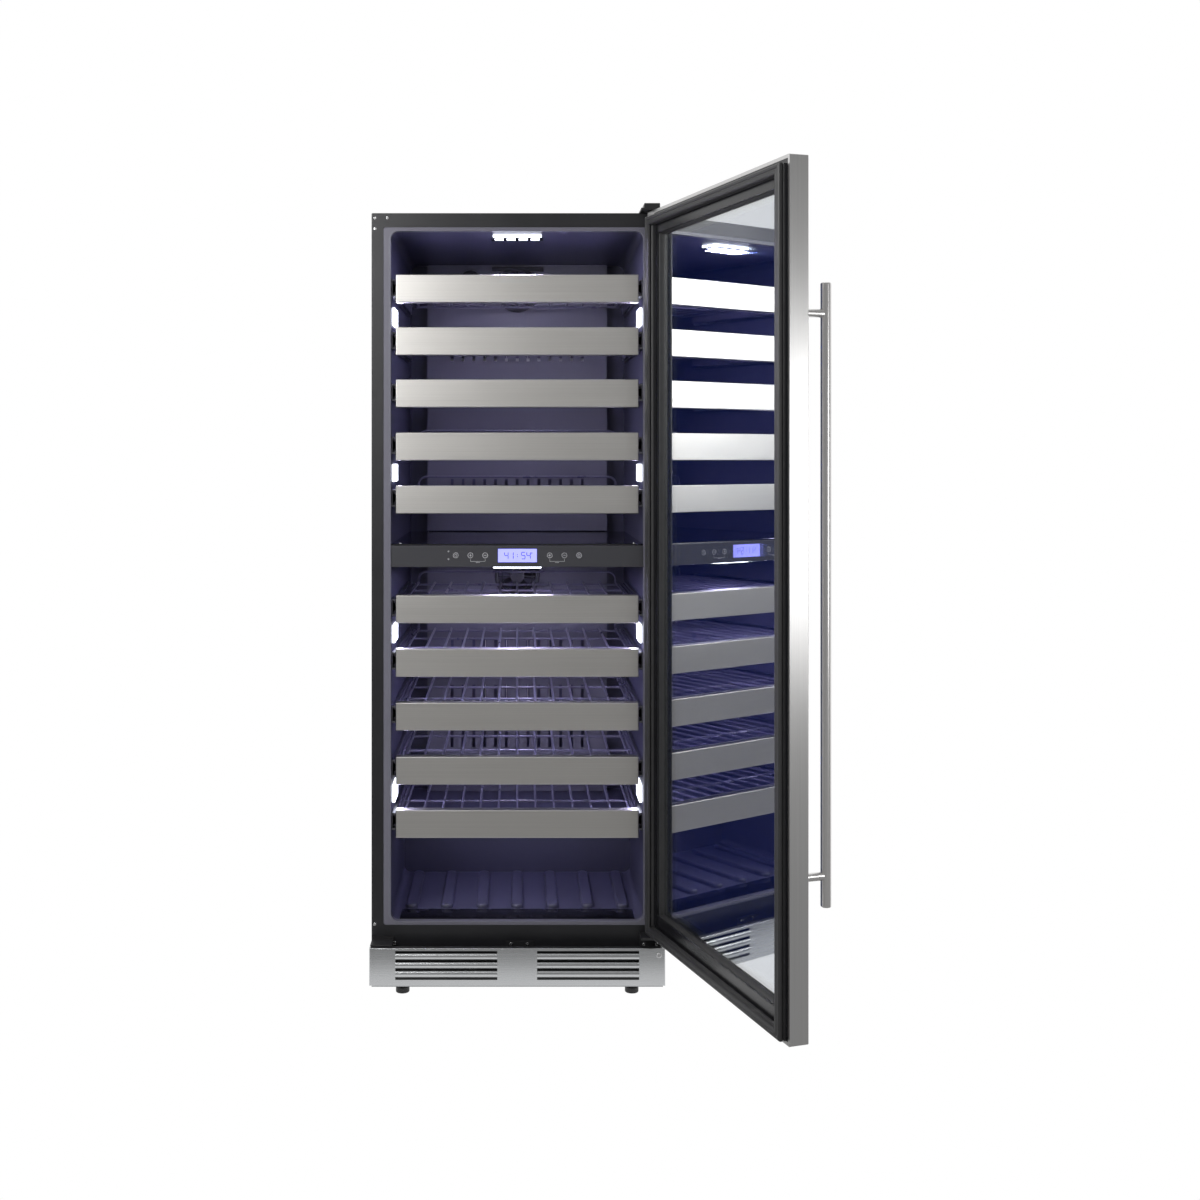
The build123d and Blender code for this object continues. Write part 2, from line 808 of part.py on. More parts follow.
with BuildPart() as cord_gland:
    gland_x, gland_z = gland_at
    gland_inner, gland_outer = cabinet_back - 8, cabinet_back + gland_rise
    rod(gland_hole, (gland_x, gland_inner, gland_z), (gland_x, cabinet_back, gland_z))
    rod(gland_hole + gland_rise, (gland_x, cabinet_back, gland_z), (gland_x, gland_outer, gland_z))
    fillet(cord_gland.faces().sort_by(Axis.Y)[-1].edges(), radius=1.5)
    rod(cord_radius, (gland_x, gland_inner - 1, gland_z), (gland_x, gland_outer + 1, gland_z), mode=Mode.SUBTRACT)

save(cord_gland.part, "cord_gland")

# ---------------------------------------------------------------- door

hinge_axis = Axis((pivot_x, pivot_y, 0), (0, 0, 1))
door_back = -door_gap
door_face = door_back - door_depth
pane_outer_face = door_face + skin
pane_inner_face = pane_outer_face + 2 * pane + pane_gap
door_outline = (door_left, door_right, door_bottom, door_top)
glass_opening = (
    door_left + door_border,
    door_right - door_border,
    door_bottom + door_border,
    door_top - door_border,
)
pane_outline = (
    glass_opening[0] - pane_overlap,
    glass_opening[1] + pane_overlap,
    glass_opening[2] - pane_overlap,
    glass_opening[3] + pane_overlap,
)
boss_height = 24.0
boss_reach = 34.0
boss_places = ((door_bottom + skin, door_bottom + boss_height), (door_top - boss_height, door_top - skin))


def inset(outline, margin):
    """Return a rectangle drawn in from another by a margin."""
    left, right, bottom, top = outline
    return (left + margin, right - margin, bottom + margin, top - margin)


def swung(part):
    """Return a door piece turned from the closed door to the open one."""
    return part.rotate(hinge_axis, open_angle)


rear_flange = 6.0
plastic_gap = 0.2

with BuildPart() as door_frame:
    with BuildSketch(front_plane(door_face)):
        frame_ring(door_outline, glass_opening, 2.5, 1.0)
    extrude(amount=-skin)
    with BuildSketch(front_plane(door_face + skin)):
        frame_ring(door_outline, inset(door_outline, skin), 2.5, 1.3)
    extrude(amount=-(door_depth - skin))
    with BuildSketch(front_plane(door_back - skin)):
        frame_ring(door_outline, inset(door_outline, rear_flange), 2.5, 1.0)
    extrude(amount=-skin)
    fillet(door_frame.faces().sort_by(Axis.Y)[0].outer_wire().edges(), radius=1.0)
    # Steel blocks that take the hinge pins
    for boss_bottom, boss_top in boss_places:
        block(
            (door_right - boss_reach, door_right - skin / 2),
            (door_back - 24, door_back - skin / 2),
            (boss_bottom - skin / 2, boss_top + skin / 2),
        )
    for bore_bottom, bore_top in (
        (door_bottom - 1, door_bottom + pin_length + 1),
        (door_top - pin_length - 1, door_top + 1),
    ):
        rod(
            pin_radius + running_clearance,
            (pivot_x, pivot_y, bore_bottom),
            (pivot_x, pivot_y, bore_top),
            mode=Mode.SUBTRACT,
        )

save(swung(door_frame.part), "door_frame")

panes = []
for pane_front in (pane_outer_face, pane_outer_face + pane + pane_gap):
    with BuildPart() as glass_pane:
        left, right, bottom, top = pane_outline
        block((left, right), (pane_front, pane_front + pane), (bottom, top))
        chamfer(glass_pane.edges(), length=0.4)
    panes.append(swung(glass_pane.part))
save(Compound(children=panes), "glass_panes")

spacer_inset = 14.0
spacer_width = 8.0
with BuildPart() as glass_spacer:
    with BuildSketch(front_plane(pane_outer_face + pane)):
        frame_ring(inset(pane_outline, spacer_inset), inset(pane_outline, spacer_inset + spacer_width), 3.0, 2.0)
    extrude(amount=-pane_gap)

save(swung(glass_spacer.part), "glass_spacer")

liner_outline = inset(door_outline, rear_flange + plastic_gap)
gasket_outline = (-gasket_half, gasket_half, gasket_bottom, gasket_top)
channel_depth = 3.0
channel_inset = 5.0

with BuildPart() as door_liner:
    with BuildSketch(front_plane(pane_inner_face)):
        frame_ring(liner_outline, glass_opening, 2.0, 4.0)
    extrude(amount=-(door_back - pane_inner_face))
    # Shallow channel behind the gasket's root
    with BuildSketch(front_plane(door_back - channel_depth)):
        frame_ring(
            inset(gasket_outline, channel_inset),
            inset(gasket_outline, gasket_width - channel_inset),
            4.0,
            3.0,
        )
    extrude(amount=-channel_depth, mode=Mode.SUBTRACT)
    # Pockets round the hinge blocks
    for boss_bottom, boss_top in boss_places:
        block(
            (door_right - boss_reach - plastic_gap, door_right),
            (pane_inner_face - 1, door_back + 1),
            (boss_bottom - 2 * plastic_gap - skin, boss_top + 2 * plastic_gap + skin),
            mode=Mode.SUBTRACT,
        )

save(swung(door_liner.part), "door_liner")

with BuildPart() as door_gasket:
    with BuildSketch(front_plane(door_back)):
        frame_ring(gasket_outline, inset(gasket_outline, gasket_width), 12.0, 4.0)
    extrude(amount=-gasket_depth)
    fillet(door_gasket.faces().sort_by(Axis.Y)[-1].edges(), radius=3.5)

save(swung(door_gasket.part), "door_gasket")

handle_x = door_left + handle_inset
handle_y = door_face - handle_standoff

with BuildPart() as handle_bar:
    rod(handle_radius, (handle_x, handle_y, handle_bottom), (handle_x, handle_y, handle_top))
    fillet(handle_bar.edges().filter_by(GeomType.CIRCLE), radius=2.5)

handle_posts = []
for post_z in (handle_bottom + post_inset, handle_top - post_inset):
    with BuildPart() as post:
        rod(post_radius, (handle_x, handle_y, post_z), (handle_x, door_face, post_z))
        rod(handle_radius, (handle_x, handle_y, post_z - 20), (handle_x, handle_y, post_z + 20), mode=Mode.SUBTRACT)
    outer_piece = post.part.solids().sort_by(Axis.Y)[-1]
    handle_posts.append(Part(outer_piece.wrapped))
save(Compound(children=[swung(handle_bar.part)] + [swung(piece) for piece in handle_posts]), "door_handle")

# ---------------------------------------------------------------- hinges, latch plate and spare bracket

hinge_span = (250.0, 294.0)
hinge_front = -40.0
top_plate = 4.0
cover_height = 10.0
arm_top = door_bottom - 3
arm_thickness = 5.0
hinge_foot = rail_bottom + 3
latch_span = (-24.0, 34.0)
latch_bottom = rail_bottom + 2
latch_height = 17.0
latch_sheet = 2.0
spare_span = (-296.0, -252.0)
spare_bottom = grille_top + 1.5
spare_sheet = 3.0

with BuildPart() as top_hinge:
    block(hinge_span, (hinge_front, 60), (cabinet_top, cabinet_top + top_plate))
    block(
        (hinge_span[0] + 6, hinge_span[1] - 6),
        (hinge_front + 2, -2),
        (cabinet_top + top_plate, cabinet_top + top_plate + cover_height),
    )
    fillet(top_hinge.faces().sort_by(Axis.Z)[-1].edges(), radius=2.0)
    rod(pin_radius, (pivot_x, pivot_y, door_top - pin_length), (pivot_x, pivot_y, cabinet_top + 2))

with BuildPart() as bottom_hinge:
    block(hinge_span, (hinge_front, -seat_gap), (arm_top - arm_thickness, arm_top))
    block(hinge_span, (-4, -seat_gap), (hinge_foot, arm_top))
    rod(pin_radius, (pivot_x, pivot_y, arm_top - 2), (pivot_x, pivot_y, door_bottom + pin_length))

with BuildPart() as latch_plate:
    block(latch_span, (-seat_gap - latch_sheet, -seat_gap), (latch_bottom, latch_bottom + latch_height))
    block(latch_span, (-14, -seat_gap), (latch_bottom, latch_bottom + latch_sheet))

with BuildPart() as spare_bracket:
    block(spare_span, (hinge_front, -seat_gap), (spare_bottom, spare_bottom + spare_sheet))
    block(spare_span, (-seat_gap - spare_sheet, -seat_gap), (spare_bottom, spare_bottom + 8))

save(
    Compound(children=[top_hinge.part, bottom_hinge.part, latch_plate.part, spare_bracket.part]),
    "hinge_brackets",
)

# ---------------------------------------------------------------- screws

screw_radius = 3.2
screw_rise = 1.2
screws = []


def pan_head(at, direction, radius=screw_radius, rise=screw_rise):
    """Return one crowned screw head with its cross recess, standing on a surface."""
    with BuildPart(Plane(origin=at, x_dir=(1, 0, 0), z_dir=direction)) as screw:
        Cylinder(radius, rise, align=(Align.CENTER, Align.CENTER, Align.MIN))
        fillet(screw.edges().filter_by(GeomType.CIRCLE).sort_by(Axis(at, direction))[-1], radius=rise * 0.6)
        with Locations((0, 0, rise)):
            Box(radius, radius * 0.28, rise * 0.8, mode=Mode.SUBTRACT)
            Box(radius * 0.28, radius, rise * 0.8, mode=Mode.SUBTRACT)
    return screw.part


towards_front = (0, -1, 0)
frame_screws = [(290, 1585), (265, 1585), (290, 1563), (291, 143), (291, 107), (251, 105)]
for side in (-1, 1):
    for screw_x, screw_z in frame_screws:
        if side > 0 and screw_z < 130:
            continue
        screws.append(pan_head((side * screw_x, 0, screw_z), towards_front))
for screw_x in (-12.5, 20.5):
    screws.append(pan_head((screw_x, -seat_gap - latch_sheet, latch_bottom + 11), towards_front))
for screw_x in (258, 284):
    screws.append(pan_head((screw_x, -4, hinge_foot + 11), towards_front))
for screw_x in (-241, 241):
    screws.append(pan_head((screw_x, 26, divider_top), (0, 0, 1), radius=4.5))
screws.append(pan_head((285, grille_face, grille_top - 13.5), towards_front, radius=5.5, rise=2.0))
for screw_y in (15, 40):
    screws.append(pan_head((271, screw_y, cabinet_top + 4), (0, 0, 1), radius=4.5))
save(Compound(children=screws), "cabinet_screws")
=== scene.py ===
"""Looks of a tall dual-zone wine cooler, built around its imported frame."""

import json
import logging
import math
from dataclasses import dataclass, field
from enum import Enum
from typing import Iterable, Optional, Sequence, Union

import bmesh
import bpy
from mathutils import Matrix, Vector


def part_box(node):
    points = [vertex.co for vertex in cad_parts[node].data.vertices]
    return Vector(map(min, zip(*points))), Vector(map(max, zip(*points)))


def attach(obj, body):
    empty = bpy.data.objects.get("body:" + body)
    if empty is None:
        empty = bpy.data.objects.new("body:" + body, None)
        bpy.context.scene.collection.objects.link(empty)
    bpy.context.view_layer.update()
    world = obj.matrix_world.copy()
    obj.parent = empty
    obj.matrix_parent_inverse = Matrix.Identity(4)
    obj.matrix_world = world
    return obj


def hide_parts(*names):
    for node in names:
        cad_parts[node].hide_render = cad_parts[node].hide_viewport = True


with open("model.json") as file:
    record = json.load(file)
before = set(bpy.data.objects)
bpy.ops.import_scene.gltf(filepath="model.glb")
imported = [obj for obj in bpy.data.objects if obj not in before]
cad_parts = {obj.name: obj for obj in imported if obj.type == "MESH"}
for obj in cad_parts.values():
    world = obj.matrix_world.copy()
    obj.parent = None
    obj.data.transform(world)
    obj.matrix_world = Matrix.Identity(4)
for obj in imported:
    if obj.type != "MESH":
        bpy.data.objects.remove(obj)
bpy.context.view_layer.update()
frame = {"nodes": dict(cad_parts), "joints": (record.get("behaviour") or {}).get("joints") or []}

log = logging.getLogger("wine_cooler")
MM = 0.001
SHELF_COUNT = 10
UP, DOWN = Vector((0, 0, 1)), Vector((0, 0, -1))
FORWARD, BACKWARD = Vector((0, -1, 0)), Vector((0, 1, 0))
Point = tuple[float, float, float]
Colour = tuple[float, float, float, float]


def grey(level: float) -> Colour:
    """Return a linear grey."""
    return (level, level, level, 1.0)


def shaded(colour: Colour, share: float, lift: float = 0.0) -> Colour:
    """Return a colour scaled by a share, with a little added to each channel."""
    return (*(channel * share + lift for channel in colour[:3]), 1.0)


def extent(points: Iterable[Vector]) -> tuple[Vector, Vector]:
    """Measure the box round some points.

    Args:
        points: The points.

    Returns:
        The box's lowest and highest corners.
    """
    known = list(points)
    low = Vector(min(point[axis] for point in known) for axis in range(3))
    high = Vector(max(point[axis] for point in known) for axis in range(3))
    return low, high


def area_light(
    name: str, at: Vector, towards: Vector, size: tuple[float, float], power: float
) -> bpy.types.Object:
    """Place one rectangular light.

    Args:
        name: The light's name.
        at: Its place.
        towards: The way that it shines.
        size: Its width and height.
        power: Its power in watts.

    Returns:
        The light's object.
    """
    data = bpy.data.lights.new(name, "AREA")
    data.shape = "RECTANGLE"
    data.size, data.size_y = size
    data.energy = power
    lamp = bpy.data.objects.new(name, data)
    lamp.matrix_world = Matrix.Translation(at) @ towards.to_track_quat("-Z", "Y").to_matrix().to_4x4()
    bpy.context.scene.collection.objects.link(lamp)
    return lamp


# ------------------------------------------------------------------ shader graph


@dataclass(frozen=True)
class Wire:
    """A node's output socket that takes part in Python arithmetic."""

    graph: "Graph"
    socket: bpy.types.NodeSocket

    def _math(self, operation: str, first: "Value", second: "Value") -> "Wire":
        """Add one Math node.

        Args:
            operation: The Math node's operation.
            first: Its first value or wire.
            second: Its second value or wire.

        Returns:
            The node's result.
        """
        node = self.graph.add("ShaderNodeMath", {"operation": operation}, {0: first, 1: second})
        return Wire(self.graph, node.outputs[0])

    def __add__(self, other: "Value") -> "Wire":
        """Return the sum."""
        return self._math("ADD", self, other)

    __radd__ = __add__

    def __mul__(self, other: "Value") -> "Wire":
        """Return the product."""
        return self._math("MULTIPLY", self, other)

    __rmul__ = __mul__

    def __sub__(self, other: "Value") -> "Wire":
        """Return this less the other."""
        return self._math("SUBTRACT", self, other)

    def __rsub__(self, other: "Value") -> "Wire":
        """Return the other less this."""
        return self._math("SUBTRACT", other, self)

    def __gt__(self, other: "Value") -> "Wire":
        """Return one where this is the greater."""
        return self._math("GREATER_THAN", self, other)

Value = Union[float, Wire]


@dataclass
class Graph:
    """The node tree of one material or world."""

    tree: bpy.types.NodeTree

    @classmethod
    def fresh(cls, owner: Union[bpy.types.Material, bpy.types.World]) -> "Graph":
        """Empty the node tree of a material or world.

        Args:
            owner: The material or world.

        Returns:
            Its node tree.
        """
        owner.use_nodes = True
        owner.node_tree.nodes.clear()
        return cls(owner.node_tree)

    def add(
        self, kind: str, settings: Optional[dict] = None, inputs: Optional[dict] = None
    ) -> bpy.types.Node:
        """Add a node of any type.

        Args:
            kind: The node's type name.
            settings: Its own settings; a ramp's stops are (place, colour) pairs under "stops".
            inputs: Values or wires by socket name or number.

        Returns:
            The node.
        """
        node = self.tree.nodes.new(kind)
        for name, value in (settings or {}).items():
            if name == "stops":
                ramp = node.color_ramp
                while len(ramp.elements) < len(value):
                    ramp.elements.new(0.5)
                for element, (place, colour) in zip(ramp.elements, value):
                    element.position = place
                    element.color = colour
            else:
                setattr(node, name, value)
        for key, value in (inputs or {}).items():
            if isinstance(value, Wire):
                self.tree.links.new(value.socket, node.inputs[key])
            else:
                node.inputs[key].default_value = value
        return node

    def out(self, node: bpy.types.Node, name: Union[str, int] = 0) -> Wire:
        """Return one of a node's outputs as a wire."""
        return Wire(self, node.outputs[name])

    def place(self, scale: Point) -> Wire:
        """Add object coordinates, stretched along each axis.

        Args:
            scale: The stretch along X, Y and Z.

        Returns:
            The stretched coordinates.
        """
        coordinates = self.add("ShaderNodeTexCoord")
        mapping = self.add("ShaderNodeMapping", None, {0: self.out(coordinates, "Object"), "Scale": scale})
        return self.out(mapping)

    def noise(self, scale: Union[float, Point], detail: float = 2.0, roughness: float = 0.5) -> Wire:
        """Return a noise from 0 to 1.

        Args:
            scale: How many grains fit in a metre, the same all ways or along each axis.
            detail: How many finer layers it has.
            roughness: How strong the finer layers are.

        Returns:
            The noise's value.
        """
        stretch = scale if isinstance(scale, tuple) else (scale, scale, scale)
        node = self.add(
            "ShaderNodeTexNoise",
            None,
            {"Vector": self.place(stretch), "Scale": 1.0, "Detail": detail, "Roughness": roughness},
        )
        return self.out(node)

    def bump(self, height: Wire, distance: float, strength: float) -> Wire:
        """Return the normal of a surface raised by a height, in metres."""
        inputs = {"Height": height, "Distance": distance, "Strength": strength}
        return self.out(self.add("ShaderNodeBump", None, inputs))

    def colour_mix(self, share: Value, first: Colour, second: Colour) -> Wire:
        """Blend two colours.

        Args:
            share: How much of the second colour.
            first: The colour at 0.
            second: The colour at 1.

        Returns:
            The blended colour.
        """
        node = self.add("ShaderNodeMix", {"data_type": "RGBA"}, {0: share})
        # A Mix node has sockets of one name for each data type, so the colour ones are found by type.
        low, high = (socket for socket in node.inputs if socket.type == "RGBA")
        low.default_value = first
        high.default_value = second
        return Wire(self, next(socket for socket in node.outputs if socket.type == "RGBA"))

    def finish(self, kind: str, surface: Wire) -> None:
        """Send a shader to a new output node of a kind."""
        output = self.add(kind)
        self.tree.links.new(surface.socket, output.inputs["Surface"])


# ------------------------------------------------------------------ finishes


class Grain(Enum):
    """The way that a brushed sheet's lines run, as noise frequency along each axis."""

    ALONG_X = (3.0, 900.0, 900.0)
    ALONG_Z = (900.0, 900.0, 3.0)


@dataclass(frozen=True)
class Finish:
    """A procedural material, made once and shared by its pieces."""

    name: str

    def material(self) -> bpy.types.Material:
        """Return the material, building it the first time.

        Returns:
            The Blender material.
        """
        known = bpy.data.materials.get(self.name)
        if known is not None:
            return known
        made = bpy.data.materials.new(self.name)
        graph = Graph.fresh(made)
        graph.finish("ShaderNodeOutputMaterial", self.shade(graph))
        return made

    def shade(self, graph: Graph) -> Wire:
        """Build the shader and return its output."""
        raise NotImplementedError

    def principled(self, graph: Graph, inputs: dict) -> Wire:
        """Return a Principled shader's output with the given sockets."""
        return graph.out(graph.add("ShaderNodeBsdfPrincipled", None, inputs))


@dataclass(frozen=True)
class BrushedSteel(Finish):
    """Stainless sheet with fine lines, soft smudges and a faint warm cast."""

    grain: Grain = Grain.ALONG_X
    colour: Colour = (0.62, 0.605, 0.58, 1.0)
    roughness: float = 0.34
    depth: float = 0.04 * MM
    smudge_pitch: float = 5.0
    dark_share: float = 0.86
    light_share: float = 1.1

    def shade(self, graph: Graph) -> Wire:
        """Build the brushed steel.

        Args:
            graph: The material's nodes.

        Returns:
            The shader's output.
        """
        lines = graph.noise(self.grain.value, detail=3.0, roughness=0.65)
        smudges = graph.noise(self.smudge_pitch, detail=4.0)
        dark, light = shaded(self.colour, self.dark_share), shaded(self.colour, self.light_share)
        return self.principled(
            graph,
            {
                "Base Color": graph.colour_mix(lines, dark, light),
                "Metallic": 1.0,
                "Roughness": self.roughness - 0.05 + lines * 0.12 + smudges * 0.05,
                "Normal": graph.bump(lines, self.depth, 0.35),
            },
        )


@dataclass(frozen=True)
class PolishedSteel(Finish):
    """Bright plated or turned steel, for screws, pins and slides."""

    colour: Colour = (0.72, 0.72, 0.73, 1.0)
    roughness: float = 0.16
    mark_pitch: float = 220.0
    dark_share: float = 0.8

    def shade(self, graph: Graph) -> Wire:
        """Build the bright steel with faint handling marks.

        Args:
            graph: The material's nodes.

        Returns:
            The shader's output.
        """
        marks = graph.noise(self.mark_pitch, detail=3.0)
        dark = shaded(self.colour, self.dark_share)
        return self.principled(
            graph,
            {
                "Base Color": graph.colour_mix(marks, dark, self.colour),
                "Metallic": 1.0,
                "Roughness": self.roughness + marks * 0.14,
            },
        )


@dataclass(frozen=True)
class PaintedSteel(Finish):
    """Powder-coated sheet with a fine orange peel."""

    colour: Colour = (0.012, 0.012, 0.014, 1.0)
    roughness: float = 0.42
    peel: float = 900.0
    coat: float = 0.0
    coat_roughness: float = 0.12
    relief: float = 0.06 * MM
    wear_pitch: float = 9.0

    def shade(self, graph: Graph) -> Wire:
        """Build the paint.

        Args:
            graph: The material's nodes.

        Returns:
            The shader's output.
        """
        peel = graph.noise(self.peel)
        wear = graph.noise(self.wear_pitch, detail=6.0, roughness=0.7)
        worn = shaded(self.colour, 1.5, 0.004)
        return self.principled(
            graph,
            {
                "Base Color": graph.colour_mix(wear, self.colour, worn),
                "Roughness": self.roughness - 0.06 + wear * 0.14,
                "Normal": graph.bump(peel, self.relief, 0.4),
                "Coat Weight": self.coat,
                "Coat Roughness": self.coat_roughness,
            },
        )


@dataclass(frozen=True)
class MouldedPlastic(Finish):
    """Moulded or thermoformed plastic with a faint spark-eroded grain."""

    colour: Colour = (0.05, 0.05, 0.06, 1.0)
    roughness: float = 0.35
    pitch: float = 1400.0
    relief: float = 0.03 * MM
    drift_pitch: float = 6.0
    light_share: float = 1.22

    def shade(self, graph: Graph) -> Wire:
        """Build the plastic.

        Args:
            graph: The material's nodes.

        Returns:
            The shader's output.
        """
        grain = graph.noise(self.pitch)
        drift = graph.noise(self.drift_pitch, detail=3.0)
        lighter = shaded(self.colour, self.light_share)
        return self.principled(
            graph,
            {
                "Base Color": graph.colour_mix(drift, self.colour, lighter),
                "Roughness": self.roughness - 0.05 + drift * 0.1,
                "Normal": graph.bump(grain, self.relief, 0.5),
            },
        )


@dataclass(frozen=True)
class SealRubber(Finish):
    """Soft extruded rubber with a dusty bloom."""

    colour: Colour = (0.012, 0.012, 0.013, 1.0)
    dust: float = 0.016
    bloom_pitch: float = 60.0
    skin_pitch: float = 1800.0
    relief: float = 0.04 * MM

    def shade(self, graph: Graph) -> Wire:
        """Build the rubber.

        Args:
            graph: The material's nodes.

        Returns:
            The shader's output.
        """
        bloom = graph.noise(self.bloom_pitch, detail=5.0, roughness=0.7)
        skin = graph.noise(self.skin_pitch, detail=1.0)
        dusty = shaded(self.colour, 1.0, self.dust)
        return self.principled(
            graph,
            {
                "Base Color": graph.colour_mix(bloom, self.colour, dusty),
                "Roughness": 0.4 + bloom * 0.18,
                "Normal": graph.bump(skin, self.relief, 0.4),
            },
        )


@dataclass(frozen=True)
class CoatedPane(Finish):
    """A pane that mirrors what is in front of it and passes a tinted view of what is behind."""

    tint: Colour = (0.9, 0.93, 0.95, 1.0)
    mirror: Colour = (0.92, 0.94, 0.95, 1.0)
    facing_share: float = 0.3
    grazing_share: float = 0.95
    curve: float = 0.35
    haze_pitch: float = 7.0
    polish: float = 0.012

    def shade(self, graph: Graph) -> Wire:
        """Build the pane.

        Args:
            graph: The material's nodes.

        Returns:
            The shader's output.
        """
        layer = graph.add("ShaderNodeLayerWeight", None, {"Blend": self.curve})
        haze = graph.noise(self.haze_pitch, detail=5.0, roughness=0.6)
        rise = self.grazing_share - self.facing_share
        share = self.facing_share + graph.out(layer, "Facing") * rise
        clear = graph.add("ShaderNodeBsdfTransparent", None, {0: self.tint})
        shine = self.principled(
            graph,
            {"Base Color": self.mirror, "Metallic": 1.0, "Roughness": self.polish + haze * self.polish},
        )
        mix = graph.add("ShaderNodeMixShader", None, {0: share, 1: graph.out(clear), 2: shine})
        return graph.out(mix)


@dataclass(frozen=True)
class LampLens(Finish):
    """A frosted lens lit from behind."""

    colour: Colour = (0.86, 0.9, 1.0, 1.0)
    strength: float = 6.0
    spot_pitch: float = 60.0
    dim_share: float = 0.8

    def shade(self, graph: Graph) -> Wire:
        """Build the glowing lens, a little uneven as a row of lamps is.

        Args:
            graph: The material's nodes.

        Returns:
            The shader's output.
        """
        spots = graph.noise(self.spot_pitch, detail=1.0)
        dim = shaded(self.colour, self.dim_share)
        return self.principled(
            graph,
            {
                "Base Color": self.colour,
                "Roughness": 0.35,
                "Emission Color": graph.colour_mix(spots, dim, self.colour),
                "Emission Strength": self.strength,
            },
        )


class Finishes:
    """Every finish on the cooler."""

    PANEL = BrushedSteel("shelf_front_steel", Grain.ALONG_X)
    GRILLE = BrushedSteel("toe_grille_steel", Grain.ALONG_X, (0.52, 0.53, 0.54, 1.0), 0.24)
    DOOR = BrushedSteel("door_steel", Grain.ALONG_Z, (0.64, 0.635, 0.63, 1.0), 0.27)
    HANDLE = BrushedSteel("handle_steel", Grain.ALONG_Z, (0.76, 0.75, 0.74, 1.0), 0.25)
    SCREW = PolishedSteel("bright_screw")
    SLIDE = PolishedSteel("slide_steel", (0.3, 0.3, 0.33, 1.0), 0.24)
    ALUMINIUM = PolishedSteel("spacer_aluminium", (0.8, 0.82, 0.8, 1.0), 0.3)
    COIL = PolishedSteel("evaporator_aluminium", (0.6, 0.61, 0.62, 1.0), 0.35)
    PAN = PolishedSteel("galvanised_steel", (0.4, 0.41, 0.42, 1.0), 0.42)
    FRAME = PaintedSteel("frame_black", (0.006, 0.006, 0.0075, 1.0), 0.36)
    BODY = PaintedSteel("body_black", (0.014, 0.014, 0.016, 1.0), 0.46)
    BRACKET = PaintedSteel("bracket_black", (0.008, 0.008, 0.009, 1.0), 0.4)
    MACHINE = PaintedSteel("machine_black", (0.018, 0.018, 0.02, 1.0), 0.38)
    # The rack's coating is black; this lifted violet grey is partly painted highlight, standing in for the
    # lamps' violet light on the wires.
    WIRE = PaintedSteel("coated_wire", (0.075, 0.072, 0.11, 1.0), 0.28, 500.0, 0.5)
    LINER = MouldedPlastic("liner_plastic", (0.045, 0.043, 0.07, 1.0), 0.36)
    LIP = MouldedPlastic("lip_plastic", (0.11, 0.108, 0.135, 1.0), 0.3)
    DUCT = MouldedPlastic("duct_plastic", (0.1, 0.098, 0.125, 1.0), 0.4)
    FITTING = MouldedPlastic("fitting_plastic", (0.014, 0.014, 0.02, 1.0), 0.34)
    GLOSS = MouldedPlastic("gloss_black_plastic", (0.004, 0.004, 0.006, 1.0), 0.09, 300.0, 0.01 * MM)
    DOOR_LINER = MouldedPlastic("door_liner_plastic", (0.006, 0.006, 0.007, 1.0), 0.24, 900.0, 0.02 * MM)
    FASCIA = MouldedPlastic("fascia_plastic", (0.032, 0.032, 0.037, 1.0), 0.33)
    KEY = MouldedPlastic("key_plastic", (0.04, 0.04, 0.046, 1.0), 0.3)
    LEGEND = MouldedPlastic("legend_ink", (0.5, 0.5, 0.52, 1.0), 0.5)
    FAN = MouldedPlastic("fan_plastic", (0.02, 0.02, 0.026, 1.0), 0.3)
    FOAM = MouldedPlastic("foam", (0.5, 0.42, 0.22, 1.0), 0.9, 300.0, 0.4 * MM)
    RUBBER = SealRubber("seal_rubber")
    FOOT = SealRubber("foot_rubber", (0.01, 0.01, 0.011, 1.0))
    INNER_PANE = CoatedPane("inner_pane_glass")
    OUTER_PANE = CoatedPane(
        "outer_pane_glass", (0.075, 0.13, 0.36, 1.0), (0.5, 0.6, 0.8, 1.0), 0.05, 0.3, 0.2
    )
    LAMP = LampLens("lamp_lens")
    LAMP_SEGMENT = LampLens("lamp_segment", (0.72, 0.74, 1.0, 1.0), 5.0)
    SCREEN = LampLens("display_screen", (0.29, 0.3, 1.0, 1.0), 1.0)
    DIGIT = MouldedPlastic("display_digit", (0.02, 0.022, 0.14, 1.0), 0.4)


# ------------------------------------------------------------------ mesh helpers


def finished(name: str, mesh: bmesh.types.BMesh, finish: Finish, body: str) -> bpy.types.Object:
    """Turn a bmesh into a piece that rides on a body.

    Args:
        name: The piece's name.
        mesh: Its geometry in metres, in the row's frame.
        finish: What it is made of.
        body: The CAD body that carries it.

    Returns:
        The new object.
    """
    data = bpy.data.meshes.new(name)
    mesh.to_mesh(data)
    mesh.free()
    data.materials.append(finish.material())
    piece = bpy.data.objects.new(name, data)
    bpy.context.scene.collection.objects.link(piece)
    data.shade_smooth()
    data.set_sharp_from_angle(angle=math.radians(35.0))
    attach(piece, body)
    log.info("%s: %d faces on %s", name, len(data.polygons), body)
    return piece


def dress(nodes: Iterable[str], finish: Finish) -> None:
    """Give a finish to CAD nodes.

    Args:
        nodes: The nodes' names.
        finish: What they are made of.
    """
    for name in nodes:
        data = frame["nodes"][name].data
        data.materials.clear()
        data.materials.append(finish.material())
        log.info("%s dressed in %s", name, finish.name)


def turned(angle: float, axis: str, at: Vector) -> Matrix:
    """Return a turn about an axis through a point."""
    return Matrix.Translation(at) @ Matrix.Rotation(angle, 4, axis) @ Matrix.Translation(-at)


